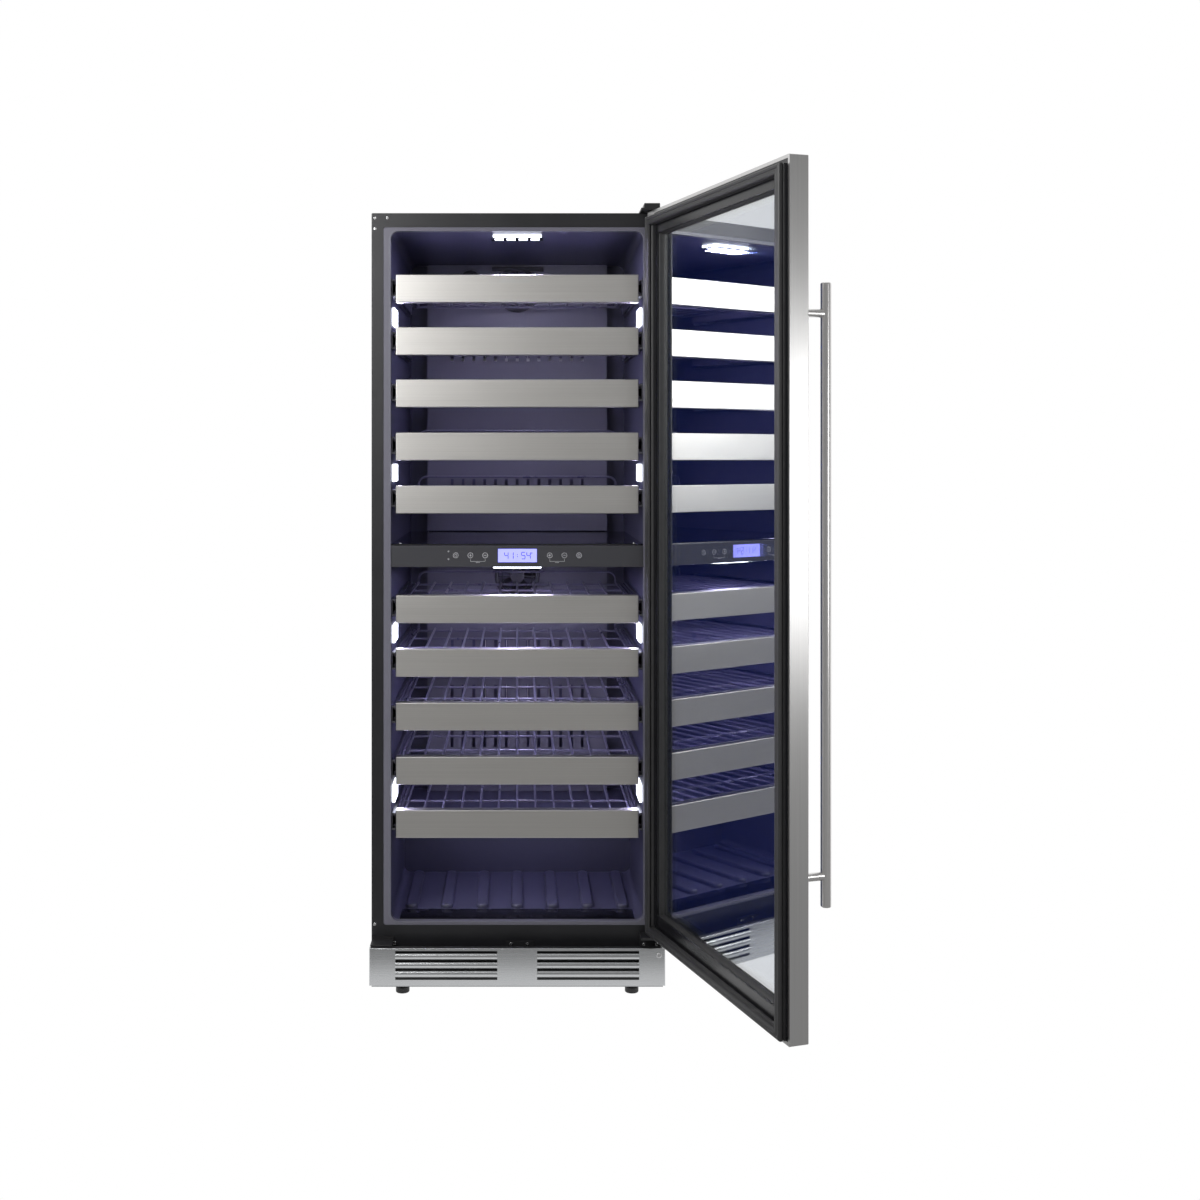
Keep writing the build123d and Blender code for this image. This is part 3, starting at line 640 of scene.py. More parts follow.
def add_slab(mesh: bmesh.types.BMesh, low: Point, high: Point, round_by: float, segments: int = 2) -> None:
    """Add a plate with rounded edges between two corners.

    Args:
        mesh: The geometry to add to.
        low: The lowest corner.
        high: The highest corner.
        round_by: The edge's radius.
        segments: How many steps round each edge.
    """
    centre = (Vector(low) + Vector(high)) / 2
    size = Vector(high) - Vector(low)
    place = Matrix.Translation(centre) @ Matrix.Diagonal((*size, 1.0))
    made = bmesh.ops.create_cube(mesh, size=1.0, matrix=place)
    edges = list({edge for vertex in made["verts"] for edge in vertex.link_edges})
    bmesh.ops.bevel(
        mesh,
        geom=edges,
        offset=round_by,
        segments=segments,
        profile=0.5,
        affect="EDGES",
        material=-1,
    )


@dataclass(frozen=True)
class ScrewHead:
    """A low round screw head with a rounded upper edge."""

    radius: float
    rise: float
    round_by: float = 0.8 * MM
    sides: int = 24

    def stand(self, mesh: bmesh.types.BMesh, centre: Vector, normal: Vector) -> None:
        """Add the head to a surface.

        Args:
            mesh: The geometry to add to.
            centre: The middle of its foot.
            normal: The way that it stands.
        """
        turn = UP.rotation_difference(normal).to_matrix().to_4x4()
        made = bmesh.ops.create_cone(
            mesh,
            cap_ends=True,
            segments=self.sides,
            radius1=self.radius,
            radius2=self.radius,
            depth=self.rise,
            matrix=Matrix.Translation(centre + normal * self.rise / 2) @ turn,
        )
        top = [v for v in made["verts"] if (v.co - centre).dot(normal) > self.rise / 2]
        rim = [e for e in {e for v in top for e in v.link_edges} if all(v in top for v in e.verts)]
        bmesh.ops.bevel(
            mesh, geom=rim, offset=self.round_by, segments=2, profile=0.5, affect="EDGES", material=-1
        )


def add_annulus(
    mesh: bmesh.types.BMesh,
    centre: Vector,
    normal: Vector,
    outer: float,
    inner: float,
    rise: float,
    sides: int = 32,
) -> None:
    """Add a flat ring standing on a surface, spun from one small quad.

    Args:
        mesh: The geometry to add to.
        centre: The ring's middle.
        normal: The ring's axis, along Y or Z.
        outer: Its outer radius.
        inner: Its inner radius.
        rise: How far it stands up.
        sides: How many steps round it.
    """
    side = Vector((1, 0, 0))
    section = ((inner, 0), (outer, 0), (outer, rise), (inner, rise))
    corners = [mesh.verts.new(centre + side * out + normal * up) for out, up in section]
    profile = [mesh.edges.new((corners[i], corners[(i + 1) % 4])) for i in range(4)]
    spun = bmesh.ops.spin(
        mesh, geom=profile + corners, cent=centre, axis=normal, angle=math.tau, steps=sides, use_merge=True
    )
    faces = {f for item in spun["geom_last"] if isinstance(item, bmesh.types.BMVert) for f in item.link_faces}
    reach = set(faces)
    while faces:
        faces = {g for f in faces for e in f.edges for g in e.link_faces} - reach
        reach |= faces
    bmesh.ops.recalc_face_normals(mesh, faces=list(reach))


def add_ring(
    mesh: bmesh.types.BMesh,
    outline: tuple[float, float, float, float],
    profile: Sequence[tuple[float, float]],
) -> None:
    """Add a mitred rectangular ring in an upright plane.

    Args:
        mesh: The geometry to add to.
        outline: The ring's left, right, bottom and top.
        profile: The section's points as (inset from the outline, depth Y), in order round it.
    """
    left, right, bottom, top = outline
    middle = Vector(((left + right) / 2, 0.0, (bottom + top) / 2))
    upright = Matrix.Translation(middle) @ Matrix.Rotation(math.radians(90), 4, "X")
    turn = Matrix.Rotation(math.radians(45), 4, "Z")
    start = bmesh.ops.create_circle(mesh, segments=4, radius=1.0, matrix=upright @ turn)
    ring = list(start["verts"])
    edges = list({edge for vertex in ring for edge in vertex.link_edges})

    def settle(vertices: Iterable[bmesh.types.BMVert], inset: float, depth: float) -> None:
        """Move four corners to their place on one loop of the section.

        Args:
            vertices: The four corners.
            inset: How far inside the outline they lie.
            depth: Their depth, along Y.
        """
        for vertex in vertices:
            to_right, to_top = vertex.co.x > middle.x, vertex.co.z > middle.z
            across = right - inset if to_right else left + inset
            vertex.co = (across, depth, top - inset if to_top else bottom + inset)

    settle(ring, *profile[0])
    for inset, depth in (*profile[1:], profile[0]):
        made = bmesh.ops.extrude_edge_only(mesh, edges=edges)["geom"]
        corners = [item for item in made if isinstance(item, bmesh.types.BMVert)]
        edges = [e for e in made if isinstance(e, bmesh.types.BMEdge) and all(v in corners for v in e.verts)]
        settle(corners, inset, depth)
        ring += corners
    bmesh.ops.remove_doubles(mesh, verts=ring, dist=1e-6)
    faces = list({face for vertex in ring if vertex.is_valid for face in vertex.link_faces})
    bmesh.ops.recalc_face_normals(mesh, faces=faces)


# ------------------------------------------------------------------ cabinet


@dataclass
class Box:
    """A node's lowest and highest corners, in metres."""

    node: str
    low: Vector = field(init=False)
    high: Vector = field(init=False)

    def __post_init__(self) -> None:
        """Read the corners from the frame."""
        low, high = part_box(self.node)
        self.low, self.high = Vector(low), Vector(high)


@dataclass
class Cabinet:
    """The insulated body, its lip, floor strip, hinge fittings and rear."""

    body: str = "cabinet"
    strip_depth: float = 62 * MM
    strip_rise: float = 1.6 * MM
    strip_inset: float = 19 * MM
    liner_sheet: float = 2 * MM
    rear_sink: float = 1.9 * MM
    rear_inset: float = 9 * MM
    rear_levels: tuple[int, ...] = (28, 140, 254, 276, 700, 1130, 1585)
    rear_screw: ScrewHead = ScrewHead(3.6 * MM, 1.8 * MM, 0.6 * MM)

    def build(self) -> None:
        """Dress the shell and add the strip behind the sill."""
        dress(["outer_shell"], Finishes.BODY)
        dress(["front_frame"], Finishes.FRAME)
        dress(["hinge_brackets"], Finishes.BRACKET)
        dress(["inner_liner"], Finishes.LINER)
        dress(["liner_trim"], Finishes.LIP)
        dress(["cabinet_screws"], Finishes.SCREW)
        dress(["insulation_foam"], Finishes.FOAM)
        self.sill_strip()
        self.rear_screws()

    def sill_strip(self) -> bpy.types.Object:
        """Add the dark strip that lies on the floor behind the lip.

        Returns:
            The strip.
        """
        lip, liner = Box("liner_trim"), Box("inner_liner")
        half = liner.high.x - self.strip_inset
        floor = liner.low.z + self.liner_sheet
        mesh = bmesh.new()
        add_slab(
            mesh,
            (-half, lip.high.y + 0.2 * MM, floor),
            (half, lip.high.y + self.strip_depth, floor + self.strip_rise),
            0.6 * MM,
        )
        return finished("sill_strip", mesh, Finishes.GLOSS, self.body)

    def rear_screws(self) -> bpy.types.Object:
        """Add the screws round the rear cover.

        Returns:
            The screws as one piece.
        """
        shell = Box("outer_shell")
        mesh = bmesh.new()
        for level in self.rear_levels:
            for side in (-1, 1):
                across = side * (shell.high.x - self.rear_inset)
                at = Vector((across, shell.high.y - self.rear_sink, level * MM))
                self.rear_screw.stand(mesh, at, BACKWARD)
        return finished("rear_screws", mesh, Finishes.SCREW, self.body)


@dataclass
class AirSystem:
    """The ducts, fan guards and motors behind the shelves."""

    body: str = "cabinet"
    plate_half: float = 56 * MM
    plate_height: float = 5 * MM
    plate_gap: float = 6 * MM
    plate_sheet: float = 1.3 * MM
    clearance: float = 0.3 * MM
    screw_across: float = 44 * MM
    screw_drop: float = 12 * MM
    screw: ScrewHead = ScrewHead(3.4 * MM, 2.6 * MM)

    def build(self) -> None:
        """Dress the ducts and fittings and add the plate above the fan."""
        dress(["air_ducts"], Finishes.DUCT)
        dress(["duct_fittings"], Finishes.FITTING)
        dress(["fan_motors", "condenser_fan", "upper_fan", "lower_fan"], Finishes.FAN)
        dress(["evaporators"], Finishes.COIL)
        self.guard_plate()

    def guard_plate(self) -> bpy.types.Object:
        """Add the bright mounting strip above the upper fan, with its two screws.

        Returns:
            The strip.
        """
        fan = Box("upper_fan")
        front = Box("air_ducts").low.y
        top = fan.high.z + self.plate_gap
        mesh = bmesh.new()
        add_slab(
            mesh,
            (-self.plate_half, front - self.clearance - self.plate_sheet, top),
            (self.plate_half, front - self.clearance, top + self.plate_height),
            0.4 * MM,
        )
        for side in (-1, 1):
            at = Vector((side * self.screw_across, front - 0.2 * MM, top - self.screw_drop))
            self.screw.stand(mesh, at, FORWARD)
        return finished("fan_plate", mesh, Finishes.SCREW, self.body)


# ------------------------------------------------------------------ controls


class Legend(Enum):
    """The symbol inside a key's ring."""

    DOT = "dot"
    BAR = "bar"
    CROSS = "cross"


@dataclass
class Controls:
    """The partition between the zones, its fascia, keys and display."""

    body: str = "cabinet"
    line: float = 0.5 * MM
    ink: float = 0.12 * MM
    digit_height: float = 13.5 * MM
    digit_width: float = 7.2 * MM
    stroke: float = 1.3 * MM
    stroke_gap: float = 0.5 * MM
    digit_gap: float = 3.4 * MM
    dot_outer: float = 1.5 * MM
    dot_inner: float = 0.9 * MM
    bracket_drop: float = 6.5 * MM
    bracket_rise: float = 2.4 * MM
    mark_step: float = 2.6 * MM
    mark_drop: float = 2.2 * MM
    mark_half: float = 0.9 * MM
    lamp_step: float = 9 * MM
    lamp_rise: float = 8 * MM
    colon_rise: float = 2.2 * MM
    colon_half: float = 0.7 * MM
    bezel_width: float = 0.8 * MM
    keys: tuple[tuple[str, Legend], ...] = (
        ("power", Legend.DOT),
        ("light", Legend.CROSS),
        ("unit", Legend.BAR),
        ("mode", Legend.CROSS),
        ("plus", Legend.BAR),
        ("minus", Legend.DOT),
    )

    def build(self) -> None:
        """Dress the partition and add the legends and digits."""
        dress(["divider"], Finishes.GLOSS)
        dress(["control_fascia"], Finishes.FASCIA)
        dress(["display"], Finishes.SCREEN)
        for name, legend in self.keys:
            dress([f"{name}_key"], Finishes.KEY)
            self.key_legend(name, legend)
        self.fascia_lines()
        self.digits()
        self.bezel()

    def key_legend(self, name: str, legend: Legend) -> bpy.types.Object:
        """Print one key's ring and symbol.

        Args:
            name: The key's name.
            legend: Its symbol.

        Returns:
            The printed piece, which moves with its key.
        """
        key = Box(f"{name}_key")
        centre = (key.low + key.high) / 2
        centre.y = key.low.y
        radius = (key.high.x - key.low.x) / 2
        ring, sign, thin = radius * 0.9, radius * 0.42, self.line * 0.7
        mesh = bmesh.new()
        add_annulus(mesh, centre, FORWARD, ring, ring - self.line * 1.3, self.ink)
        if legend is Legend.DOT:
            add_annulus(mesh, centre, FORWARD, sign, sign - self.line, self.ink)
        if legend in (Legend.BAR, Legend.CROSS):
            self.stroke_at(mesh, centre, sign, thin)
        if legend is Legend.CROSS:
            self.stroke_at(mesh, centre, thin, sign)
        return finished(f"{name}_legend", mesh, Finishes.LEGEND, f"{name}_button")

    def stroke_at(self, mesh: bmesh.types.BMesh, centre: Vector, half_x: float, half_z: float) -> None:
        """Add one printed stroke, standing proud by the ink's thickness.

        Args:
            mesh: The geometry to add to.
            centre: The stroke's middle, on the printed face.
            half_x: Half its width.
            half_z: Half its height.
        """
        low = (centre.x - half_x, centre.y - self.ink, centre.z - half_z)
        high = (centre.x + half_x, centre.y, centre.z + half_z)
        add_slab(mesh, low, high, self.ink * 0.3, 1)

    def fascia_lines(self) -> bpy.types.Object:
        """Print the two brackets that join the temperature keys, and the two lamps.

        Returns:
            The printed piece.
        """
        fascia = Box("control_fascia")
        mesh = bmesh.new()
        for first, second in (("light", "unit"), ("mode", "plus")):
            low_key, high_key = Box(f"{first}_key"), Box(f"{second}_key")
            left = (low_key.low.x + low_key.high.x) / 2
            right = (high_key.low.x + high_key.high.x) / 2
            foot = low_key.low.z - self.bracket_drop
            front = fascia.low.y
            middle = (left + right) / 2
            self.stroke_at(mesh, Vector((middle, front, foot)), (right - left) / 2, self.line / 2)
            for x in (left, right):
                upright = Vector((x, front, foot + self.bracket_rise))
                self.stroke_at(mesh, upright, self.line / 2, self.bracket_rise)
            for step in (-1, 0, 1):
                mark = Vector((middle + step * self.mark_step, front, foot - self.mark_drop))
                self.stroke_at(mesh, mark, self.mark_half, self.line)
        edge = Box("power_key")
        for rise in (-1, 1):
            level = (edge.low.z + edge.high.z) / 2 + rise * self.lamp_rise
            at = Vector((edge.low.x - self.lamp_step, fascia.low.y, level))
            add_annulus(mesh, at, FORWARD, self.dot_outer, self.dot_inner, self.ink, 16)
        return finished("fascia_legends", mesh, Finishes.LEGEND, self.body)

    def digits(self) -> bpy.types.Object:
        """Draw the two temperatures in seven-stroke digits.

        Returns:
            The digits as one piece.
        """
        screen = Box("display")
        strokes = {"4": "bcfg", "1": "bc", "5": "acdfg"}
        mesh = bmesh.new()
        middle = (screen.low + screen.high) / 2
        pitch = self.digit_width + self.digit_gap
        for index, digit in enumerate("41 54"):
            x = middle.x + (index - 2) * pitch + (1.5 * MM if index > 2 else -1.5 * MM)
            for stroke in strokes.get(digit, ""):
                self.digit_stroke(mesh, Vector((x, screen.low.y, middle.z)), stroke)
        for rise in (-self.colon_rise, self.colon_rise):
            dot = Vector((middle.x, screen.low.y, middle.z + rise))
            self.stroke_at(mesh, dot, self.colon_half, self.colon_half)
        degree = Vector((middle.x + 2.75 * pitch, screen.low.y, middle.z + 5 * MM))
        add_annulus(mesh, degree, FORWARD, self.dot_outer, self.dot_inner, self.ink, 16)
        return finished("display_digits", mesh, Finishes.DIGIT, self.body)

    def digit_stroke(self, mesh: bmesh.types.BMesh, centre: Vector, stroke: str) -> None:
        """Add one of a digit's seven strokes.

        Args:
            mesh: The geometry to add to.
            centre: The digit's middle.
            stroke: The stroke's letter, a to g, clockwise from the top with g in the middle.
        """
        half_w, half_h = self.digit_width / 2, self.digit_height / 2
        thin, gap = self.stroke / 2, self.stroke_gap
        level = {"a": half_h, "g": 0.0, "d": -half_h}
        upright = {"b": (1, 1), "c": (1, -1), "e": (-1, -1), "f": (-1, 1)}
        if stroke in level:
            at = centre + Vector((0, 0, level[stroke]))
            self.stroke_at(mesh, at, half_w - gap, thin)
        else:
            side, up = upright[stroke]
            at = centre + Vector((side * half_w, 0, up * half_h / 2))
            self.stroke_at(mesh, at, thin, half_h / 2 - gap)

    def bezel(self) -> bpy.types.Object:
        """Add the thin frame round the display.

        Returns:
            The bezel.
        """
        screen, fascia = Box("display"), Box("control_fascia")
        outline = (screen.low.x, screen.high.x, screen.low.z, screen.high.z)
        deep, proud = screen.low.y, fascia.low.y
        wide = self.bezel_width
        profile = [(0, deep), (0, proud), (0.5 * MM, proud), (wide, deep - 0.1 * MM), (wide, deep)]
        mesh = bmesh.new()
        add_ring(mesh, outline, profile)
        return finished("display_bezel", mesh, Finishes.GLOSS, self.body)


# ------------------------------------------------------------------ shelves


@dataclass
class Shelf:
    """One sliding shelf: a steel front on a wire rack with two runners."""

    number: int
    fixing_across: float = 244 * MM
    fixing_drop: float = 18 * MM
    rear_steps: tuple[float, float] = (24 * MM, 66 * MM)
    front_step: float = 30 * MM
    fixing: ScrewHead = ScrewHead(3.4 * MM, 2.4 * MM, sides=16)

    @property
    def name(self) -> str:
        """Return the name that the shelf's nodes start with."""
        return f"shelf_{self.number:02d}"

    def build(self) -> None:
        """Dress the shelf and add its screws."""
        dress([f"{self.name}_panel"], Finishes.PANEL)
        dress([f"{self.name}_rack"], Finishes.WIRE)
        self.fixings()

    def fixings(self) -> bpy.types.Object:
        """Add the bright screws at the rack's rear corners and the runners' front screws.

        Returns:
            The fixings as one piece.
        """
        rack = Box(f"{self.name}_rack")
        panel = Box(f"{self.name}_panel")
        level = panel.high.z - self.fixing_drop
        rear = [rack.high.y - step for step in self.rear_steps]
        mesh = bmesh.new()
        for side in (-1, 1):
            for y in (*rear, panel.high.y + self.front_step):
                self.fixing.stand(mesh, Vector((side * self.fixing_across, y, level)), UP)
        return finished(f"{self.name}_fixings", mesh, Finishes.SCREW, self.name)


@dataclass
class Shelves:
    """All the shelves and their fixed rails."""

    count: int = SHELF_COUNT

    def build(self) -> None:
        """Build every shelf and dress the rails."""
        dress(["slide_rails"], Finishes.SLIDE)
        for number in range(1, self.count + 1):
            Shelf(number).build()


# ------------------------------------------------------------------ lamps


@dataclass
class Lamps:
    """The side lenses and the two ceiling lenses, and the light that they give."""

    body: str = "cabinet"
    colour: Point = (0.66, 0.62, 1.0)
    side_power: float = 0.35
    side_size: tuple[float, float] = (60 * MM, 34 * MM)
    ceiling_power: float = 2.2
    ceiling_size: tuple[float, float] = (90 * MM, 34 * MM)
    stand_off: float = 8 * MM
    tallest_ceiling_lens: float = 20 * MM
    gap_power: float = 0.22
    gap_size: tuple[float, float] = (460 * MM, 400 * MM)
    gap_rise: float = 36 * MM
    gap_depth: float = 250 * MM
    glow_power: float = 0.02
    glow_size: tuple[float, float] = (60 * MM, 6 * MM)
    glow_rise: float = 22 * MM
    glowing: tuple[int, ...] = (1, 2, 6, 7, 8, 9, 10)
    segments: int = 4
    segment_gap: float = 4 * MM
    segment_inset: float = 5 * MM
    bar_half: float = 3.6 * MM
    rim: float = 5.6 * MM
    edge: float = 0.3 * MM

    def build(self) -> None:
        """Dress the lenses and place a light in front of each."""
        dress(["lamp_lenses"], Finishes.LAMP)
        lenses = self.lens_boxes()
        for low, high in lenses:
            centre = (low + high) / 2
            if high.z - low.z > self.tallest_ceiling_lens:
                inward = Vector((-math.copysign(1.0, centre.x), 0, 0))
                self.light(centre + inward * self.stand_off, inward, self.side_size, self.side_power)
            else:
                below = centre + DOWN * self.stand_off
                self.light(below, DOWN, self.ceiling_size, self.ceiling_power)
                self.segment_row(low, high)
        for number in range(1, SHELF_COUNT + 1):
            self.gap_light(number)

    def gap_light(self, number: int) -> None:
        """Light one gap between shelves, as the lamps' light does after many bounces.

        Args:
            number: The shelf under the gap.
        """
        panel = Box(f"shelf_{number:02d}_panel")
        at = Vector((0, self.gap_depth, panel.high.z + self.gap_rise))
        self.light(at, DOWN, self.gap_size, self.gap_power, glossy=False)
        if number in self.glowing:
            front = Vector((0, panel.high.y, panel.high.z + self.glow_rise))
            self.light(front, DOWN, self.glow_size, self.glow_power, glossy=False)

    def lens_boxes(self) -> list[tuple[Vector, Vector]]:
        """Find each lens in the lens node.

        Returns:
            The lowest and highest corner of every separate lens.
        """
        mesh = bmesh.new()
        mesh.from_mesh(frame["nodes"]["lamp_lenses"].data)
        bmesh.ops.remove_doubles(mesh, verts=mesh.verts, dist=0.00001)
        left = set(mesh.verts)
        boxes = []
        while left:
            group, edge = set(), {next(iter(left))}
            while edge:
                group |= edge
                near = {other for vertex in edge for link in vertex.link_edges for other in link.verts}
                edge = near - group
            left -= group
            boxes.append(extent(vertex.co for vertex in group))
        mesh.free()
        return sorted(boxes, key=lambda pair: (round(pair[0].z, 4), round(pair[0].x, 4)))

    def light(
        self, at: Vector, towards: Vector, size: tuple[float, float], power: float, glossy: bool = True
    ) -> None:
        """Place one small area light.

        Args:
            at: Its place.
            towards: The way that it shines.
            size: Its width and height.
            power: Its power in watts.
            glossy: Whether mirrors show it.
        """
        lamp = area_light("cabinet_lamp", at, towards, size, power)
        lamp.data.color = self.colour
        lamp.visible_camera = False
        lamp.visible_glossy = glossy

    def segment_row(self, low: Vector, high: Vector) -> None:
        """Add the row of bright segments under a ceiling lens, and the bars that part them.

        Args:
            low: The lens's lowest corner.
            high: The lens's highest corner.
        """
        zone = "upper" if low.z > 1.0 else "lower"
        width = (high.x - low.x) / self.segments
        segments, bars = bmesh.new(), bmesh.new()
        for index in range(self.segments):
            left = low.x + index * width
            add_slab(
                segments,
                (left + self.segment_gap, low.y + self.segment_inset, low.z - 0.5 * MM),
                (left + width - self.segment_gap, high.y - self.segment_inset, low.z + 0.4 * MM),
                self.edge,
            )
        for index in range(self.segments + 1):
            middle = low.x + index * width
            add_slab(
                bars,
                (middle - self.bar_half, low.y - 1 * MM, low.z - 0.9 * MM),
                (middle + self.bar_half, high.y + 1 * MM, low.z + 0.3 * MM),
                self.edge,
            )
        for front in (low.y - 1 * MM, high.y + 1 * MM - self.rim):
            add_slab(
                bars,
                (low.x - 3 * MM, front, low.z - 0.8 * MM),
                (high.x + 3 * MM, front + self.rim, low.z + 0.25 * MM),
                self.edge,
            )
        finished(f"{zone}_lamp_segments", segments, Finishes.LAMP_SEGMENT, self.body)
        finished(f"{zone}_lamp_bezel", bars, Finishes.GLOSS, self.body)


# ------------------------------------------------------------------ base


@dataclass
class Base:
    """The toe grille, feet, pan and the machine compartment."""

    body: str = "cabinet"
    feet: tuple[str, ...] = ("front_left", "front_right", "rear_left", "rear_right")
    screen_inset: float = 6 * MM
    screen_depth: float = 14 * MM
    screen_sheet: float = 2 * MM

    def build(self) -> None:
        """Dress the base and add the dark screen behind the louvres."""
        dress(["toe_grille"], Finishes.GRILLE)
        dress(["base_frame"], Finishes.PAN)
        dress(["compressor", "condenser"], Finishes.MACHINE)
        dress(["cord_gland"], Finishes.RUBBER)
        dress([f"{place}_foot" for place in self.feet], Finishes.FOOT)
        self.louvre_screen()

    def louvre_screen(self) -> bpy.types.Object:
        """Add the dark filter screen that closes the grille behind its slots.

        Returns:
            The screen.
        """
        grille = Box("toe_grille")
        front = grille.low.y + self.screen_depth
        mesh = bmesh.new()
        add_slab(
            mesh,
            (grille.low.x + self.screen_inset, front, grille.low.z + 3 * MM),
            (grille.high.x - self.screen_inset, front + self.screen_sheet, grille.high.z - 4 * MM),
            0.4 * MM,
        )
        return finished("louvre_screen", mesh, Finishes.BRACKET, self.body)


# ------------------------------------------------------------------ door


@dataclass
class Door:
    """The glazed door, modelled shut and turned to where it stands open at rest."""

    body: str = "door"
    pane: float = 4 * MM
    gasket_width: float = 18 * MM
    bead_inset: float = 10 * MM
    seal_width: float = 13.6 * MM
    collar_from_end: float = 52 * MM
    collar_outer: float = 9.5 * MM
    collar_inner: float = 7.1 * MM
    collar_rise: float = 2.5 * MM
    open_turn: Matrix = field(init=False)

    def __post_init__(self) -> None:
        """Find the turn from shut to open in the door's own joint."""
        joint = next(j for j in frame["joints"] if j["name"] == "door_hinge")
        angle = math.radians(-joint["range_deg"][0])
        self.open_turn = turned(angle, "Z", Vector(joint["pos_m"]))

    def shut_box(self, node: str) -> tuple[Vector, Vector]:
        """Measure a door node as it lies when the door is shut.

        Args:
            node: The CAD node's name.

        Returns:
            Its lowest and highest corners.
        """
        back = self.open_turn.inverted()
        return extent(back @ vertex.co for vertex in frame["nodes"][node].data.vertices)

    def hang(self, name: str, mesh: bmesh.types.BMesh, finish: Finish) -> bpy.types.Object:
        """Turn a shut piece to the open door and finish it."""
        bmesh.ops.transform(mesh, matrix=self.open_turn, verts=mesh.verts)
        return finished(name, mesh, finish, self.body)

    def build(self) -> None:
        """Build the panes, seals and trims, and dress the steel."""
        dress(["door_frame"], Finishes.DOOR)
        dress(["door_handle"], Finishes.HANDLE)
        dress(["glass_spacer"], Finishes.ALUMINIUM)
        dress(["door_liner"], Finishes.DOOR_LINER)
        self.panes()
        self.gasket()
        self.glazing_seal()
        self.handle_collars()

    def panes(self) -> None:
        """Add the two panes of the sealed unit in place of their plain solids."""
        low, high = self.shut_box("glass_panes")
        pieces = []
        for name, front, finish in (
            ("outer_pane", low.y, Finishes.OUTER_PANE),
            ("inner_pane", high.y - self.pane, Finishes.INNER_PANE),
        ):
            mesh = bmesh.new()
            add_slab(mesh, (low.x, front, low.z), (high.x, front + self.pane, high.z), 0.4 * MM, 1)
            pieces.append(self.hang(name, mesh, finish))
        for piece in pieces:
            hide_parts("glass_panes")

    def gasket(self) -> bpy.types.Object:
        """Add the ridged magnetic gasket in place of its plain solid.

        Returns:
            The gasket.
        """
        low, high = self.shut_box("door_gasket")
        root, depth = low.y, high.y - low.y
        shape = (
            (0.02, 0.0),
            (0.02, 0.22),
            (0.12, 0.3),
            (0.04, 0.42),
            (0.0, 0.62),
            (0.04, 0.86),
            (0.16, 1.0),
            (0.36, 1.0),
            (0.42, 0.93),
            (0.5, 0.93),
            (0.56, 1.0),
            (0.8, 1.0),
            (0.94, 0.88),
            (1.0, 0.66),
            (0.9, 0.5),
            (0.78, 0.44),
            (0.9, 0.32),
            (0.98, 0.16),
            (0.98, 0.0),
        )
        profile = [(across * self.gasket_width, root + up * depth) for across, up in shape]
        mesh = bmesh.new()
        add_ring(mesh, (low.x, high.x, low.z, high.z), profile)
        piece = self.hang("ridged_gasket", mesh, Finishes.RUBBER)
        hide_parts("door_gasket")
        return piece

    def glazing_seal(self) -> None:
        """Add the stepped bead between the liner and the inner pane, and the pane's dark edge."""
        liner_high = self.shut_box("door_liner")[1]
        frame_low, frame_high = self.shut_box("door_frame")
        pane_low, pane_high = self.shut_box("glass_panes")
        edge = pane_low.x - frame_low.x + self.bead_inset
        outline = (frame_low.x + edge, frame_high.x - edge, frame_low.z + edge, frame_high.z - edge)
        foot = pane_high.y + 0.05 * MM
        top = liner_high.y - 1.5 * MM
        profile = [
            (-0.1 * MM, foot),
            (-0.1 * MM, top - 3 * MM),
            (1.2 * MM, top - 4 * MM),
            (1.6 * MM, top - 7 * MM),
            (3.4 * MM, foot + 1.8 * MM),
            (4.2 * MM, foot),
        ]
        mesh = bmesh.new()
        add_ring(mesh, outline, profile)
        self.hang("glazing_bead", mesh, Finishes.RUBBER)
        clear = self.pane + 0.1 * MM
        front, back = pane_low.y + clear, pane_high.y - clear
        outer, inner = 0.4 * MM, self.seal_width
        seal = [(outer, front), (inner, front), (inner, back), (outer, back)]
        mesh = bmesh.new()
        add_ring(mesh, (pane_low.x, pane_high.x, pane_low.z, pane_high.z), seal)
        self.hang("pane_edge_seal", mesh, Finishes.RUBBER)

    def handle_collars(self) -> bpy.types.Object:
        """Add the turned collars where the posts meet the door's face.

        Returns:
            The collars as one piece.
        """
        handle_low, handle_high = self.shut_box("door_handle")
        face = self.shut_box("door_frame")[0].y
        middle = (handle_low.x + handle_high.x) / 2
        mesh = bmesh.new()
        for z in (handle_low.z + self.collar_from_end, handle_high.z - self.collar_from_end):
            at = Vector((middle, face, z))
            add_annulus(mesh, at, FORWARD, self.collar_outer, self.collar_inner, self.collar_rise)
        return self.hang("handle_collars", mesh, Finishes.HANDLE)


# ------------------------------------------------------------------ studio


@dataclass(frozen=True)
class SoftBox:
    """One large soft light."""

    name: str
    at: Point
    size: tuple[float, float]
    power: float


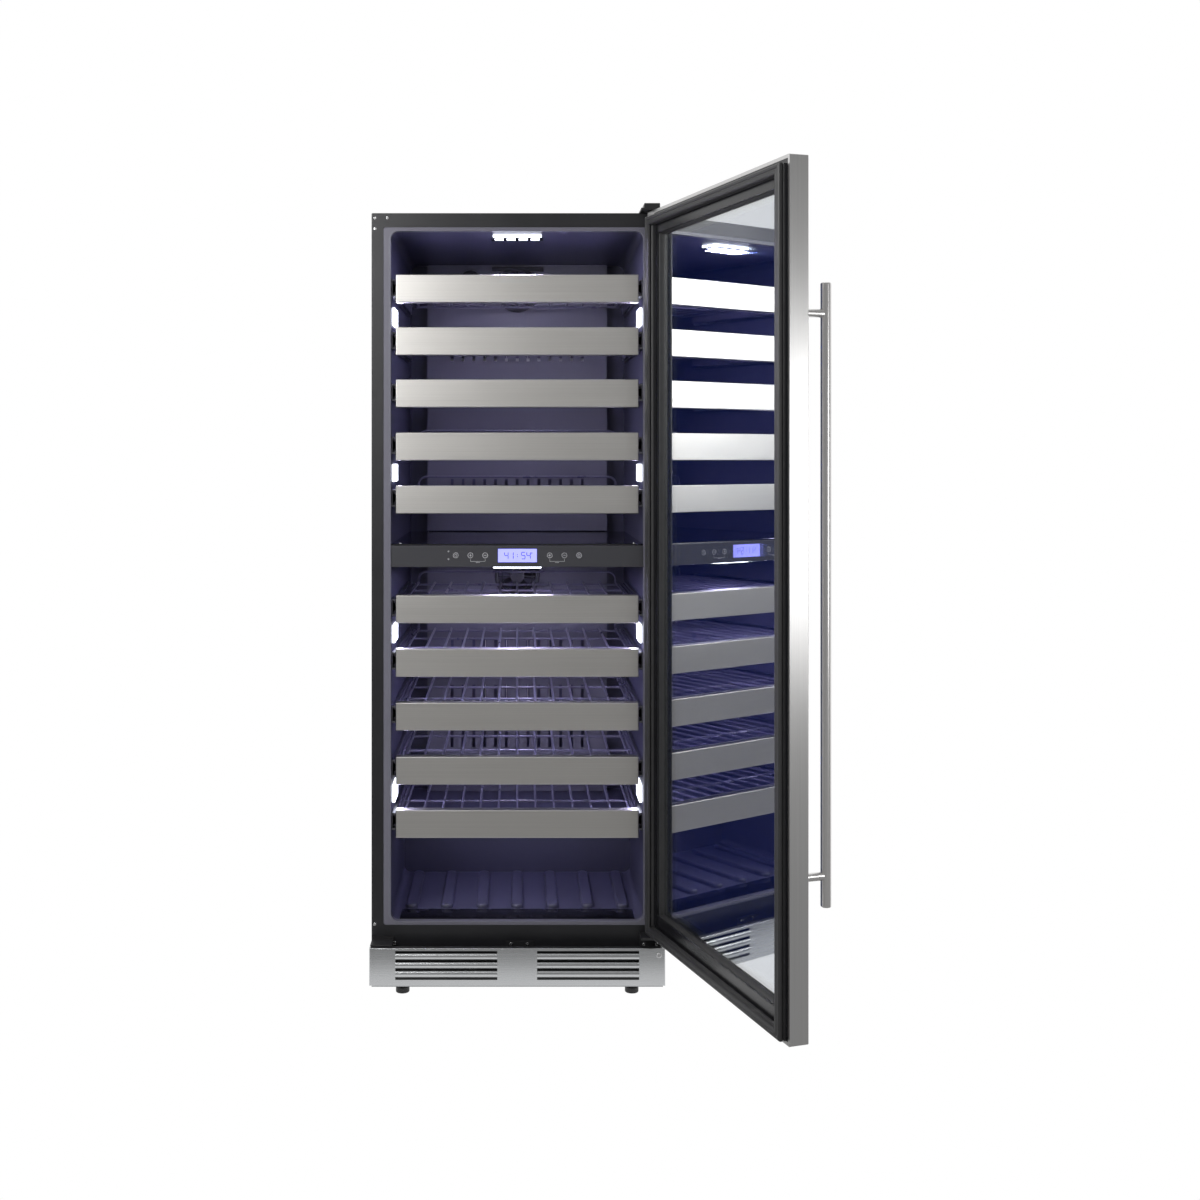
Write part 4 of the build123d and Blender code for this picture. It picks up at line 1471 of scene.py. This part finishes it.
@dataclass
class Studio:
    """The pale floor, the soft lights and the camera."""

    focal: float = 42.9
    camera_at: Point = (0.0, -2.920, 1.094)
    shift: tuple[float, float] = (0.069, -0.118)
    floor_half: float = 40.0
    white_from: float = -0.25
    front_share: float = 0.3
    aim: Point = (0.0, 0.0, 0.8)
    soft_boxes: tuple[SoftBox, ...] = (
        SoftBox("left_softbox", (-1.05, -1.5, 1.75), (0.7, 1.1), 30.0),
        SoftBox("right_strip", (1.75, -1.75, 1.0), (0.5, 0.8), 5.0),
        SoftBox("overhead_softbox", (0.0, -0.6, 4.2), (4.0, 4.0), 14.0),
    )

    def build(self) -> None:
        """Set the whole studio."""
        self.camera()
        self.floor()
        self.world()
        self.lights()
        bpy.context.scene.view_settings.view_transform = "Standard"

    def camera(self) -> None:
        """Place the camera, level and square to the cabinet."""
        data = bpy.data.cameras.new("camera")
        data.lens = self.focal
        data.sensor_width = 36.0
        data.shift_x, data.shift_y = self.shift
        camera = bpy.data.objects.new("camera", data)
        camera.location = self.camera_at
        camera.rotation_euler = (math.radians(90), 0, 0)
        bpy.context.scene.collection.objects.link(camera)
        bpy.context.scene.camera = camera

    def floor(self) -> None:
        """Lay the pale floor, which steel and glass see darker in front of the cooler."""
        mesh = bmesh.new()
        bmesh.ops.create_grid(mesh, x_segments=1, y_segments=1, size=self.floor_half)
        data = bpy.data.meshes.new("studio_floor")
        mesh.to_mesh(data)
        mesh.free()
        material = bpy.data.materials.new("studio_floor")
        graph = Graph.fresh(material)
        path = graph.add("ShaderNodeLightPath")
        matt = graph.add("ShaderNodeBsdfDiffuse", None, {0: grey(0.9)})
        coordinates = graph.add("ShaderNodeTexCoord")
        parts = graph.add("ShaderNodeSeparateXYZ", None, {0: graph.out(coordinates, "Object")})
        direct = graph.out(path, "Is Camera Ray")
        behind = (graph.out(parts, "Y") > self.white_from) * (1.0 - self.front_share) + self.front_share
        glow = direct + (1.0 - direct) * behind
        sheet = graph.add("ShaderNodeEmission", None, {0: grey(1.0), 1: glow})
        seen = direct + graph.out(path, "Is Glossy Ray")
        mix = graph.add("ShaderNodeMixShader", None, {0: seen, 1: graph.out(matt), 2: graph.out(sheet)})
        graph.finish("ShaderNodeOutputMaterial", graph.out(mix))
        data.materials.append(material)
        floor = bpy.data.objects.new("studio_floor", data)
        bpy.context.scene.collection.objects.link(floor)

    def world(self) -> None:
        """Fill the room with white behind the cooler and a dim grey in front of it."""
        world = bpy.data.worlds.new("studio")
        bpy.context.scene.world = world
        graph = Graph.fresh(world)
        path = graph.add("ShaderNodeLightPath")
        coordinates = graph.add("ShaderNodeTexCoord")
        parts = graph.add("ShaderNodeSeparateXYZ", None, {0: graph.out(coordinates, "Generated")})
        across = graph.add(
            "ShaderNodeValToRGB",
            {"stops": [(0.0, grey(0.3)), (0.42, grey(0.26)), (0.6, grey(0.95)), (1.0, grey(1.0))]},
            {0: graph.out(parts, "Y") * 0.5 + 0.5},
        )
        seen = graph.add("ShaderNodeBackground", None, {0: grey(1.0), 1: 1.0})
        room = graph.add("ShaderNodeBackground", None, {0: graph.out(across), 1: 1.0})
        mix = graph.add(
            "ShaderNodeMixShader",
            None,
            {0: graph.out(path, "Is Camera Ray"), 1: graph.out(room), 2: graph.out(seen)},
        )
        graph.finish("ShaderNodeOutputWorld", graph.out(mix))

    def lights(self) -> None:
        """Hang the soft boxes."""
        for box in self.soft_boxes:
            at = Vector(box.at)
            area_light(box.name, at, Vector(self.aim) - at, box.size, box.power)


def main() -> None:
    """Build the cooler and its studio, sub-assembly by sub-assembly."""
    logging.basicConfig(level=logging.INFO, format="%(message)s")
    assemblies = (Studio(), Cabinet(), AirSystem(), Controls(), Shelves(), Lamps(), Base(), Door())
    for assembly in assemblies:
        log.info("building %s", type(assembly).__name__)
        assembly.build()
    bpy.context.view_layer.update()


if __name__ == "__main__":
    main()
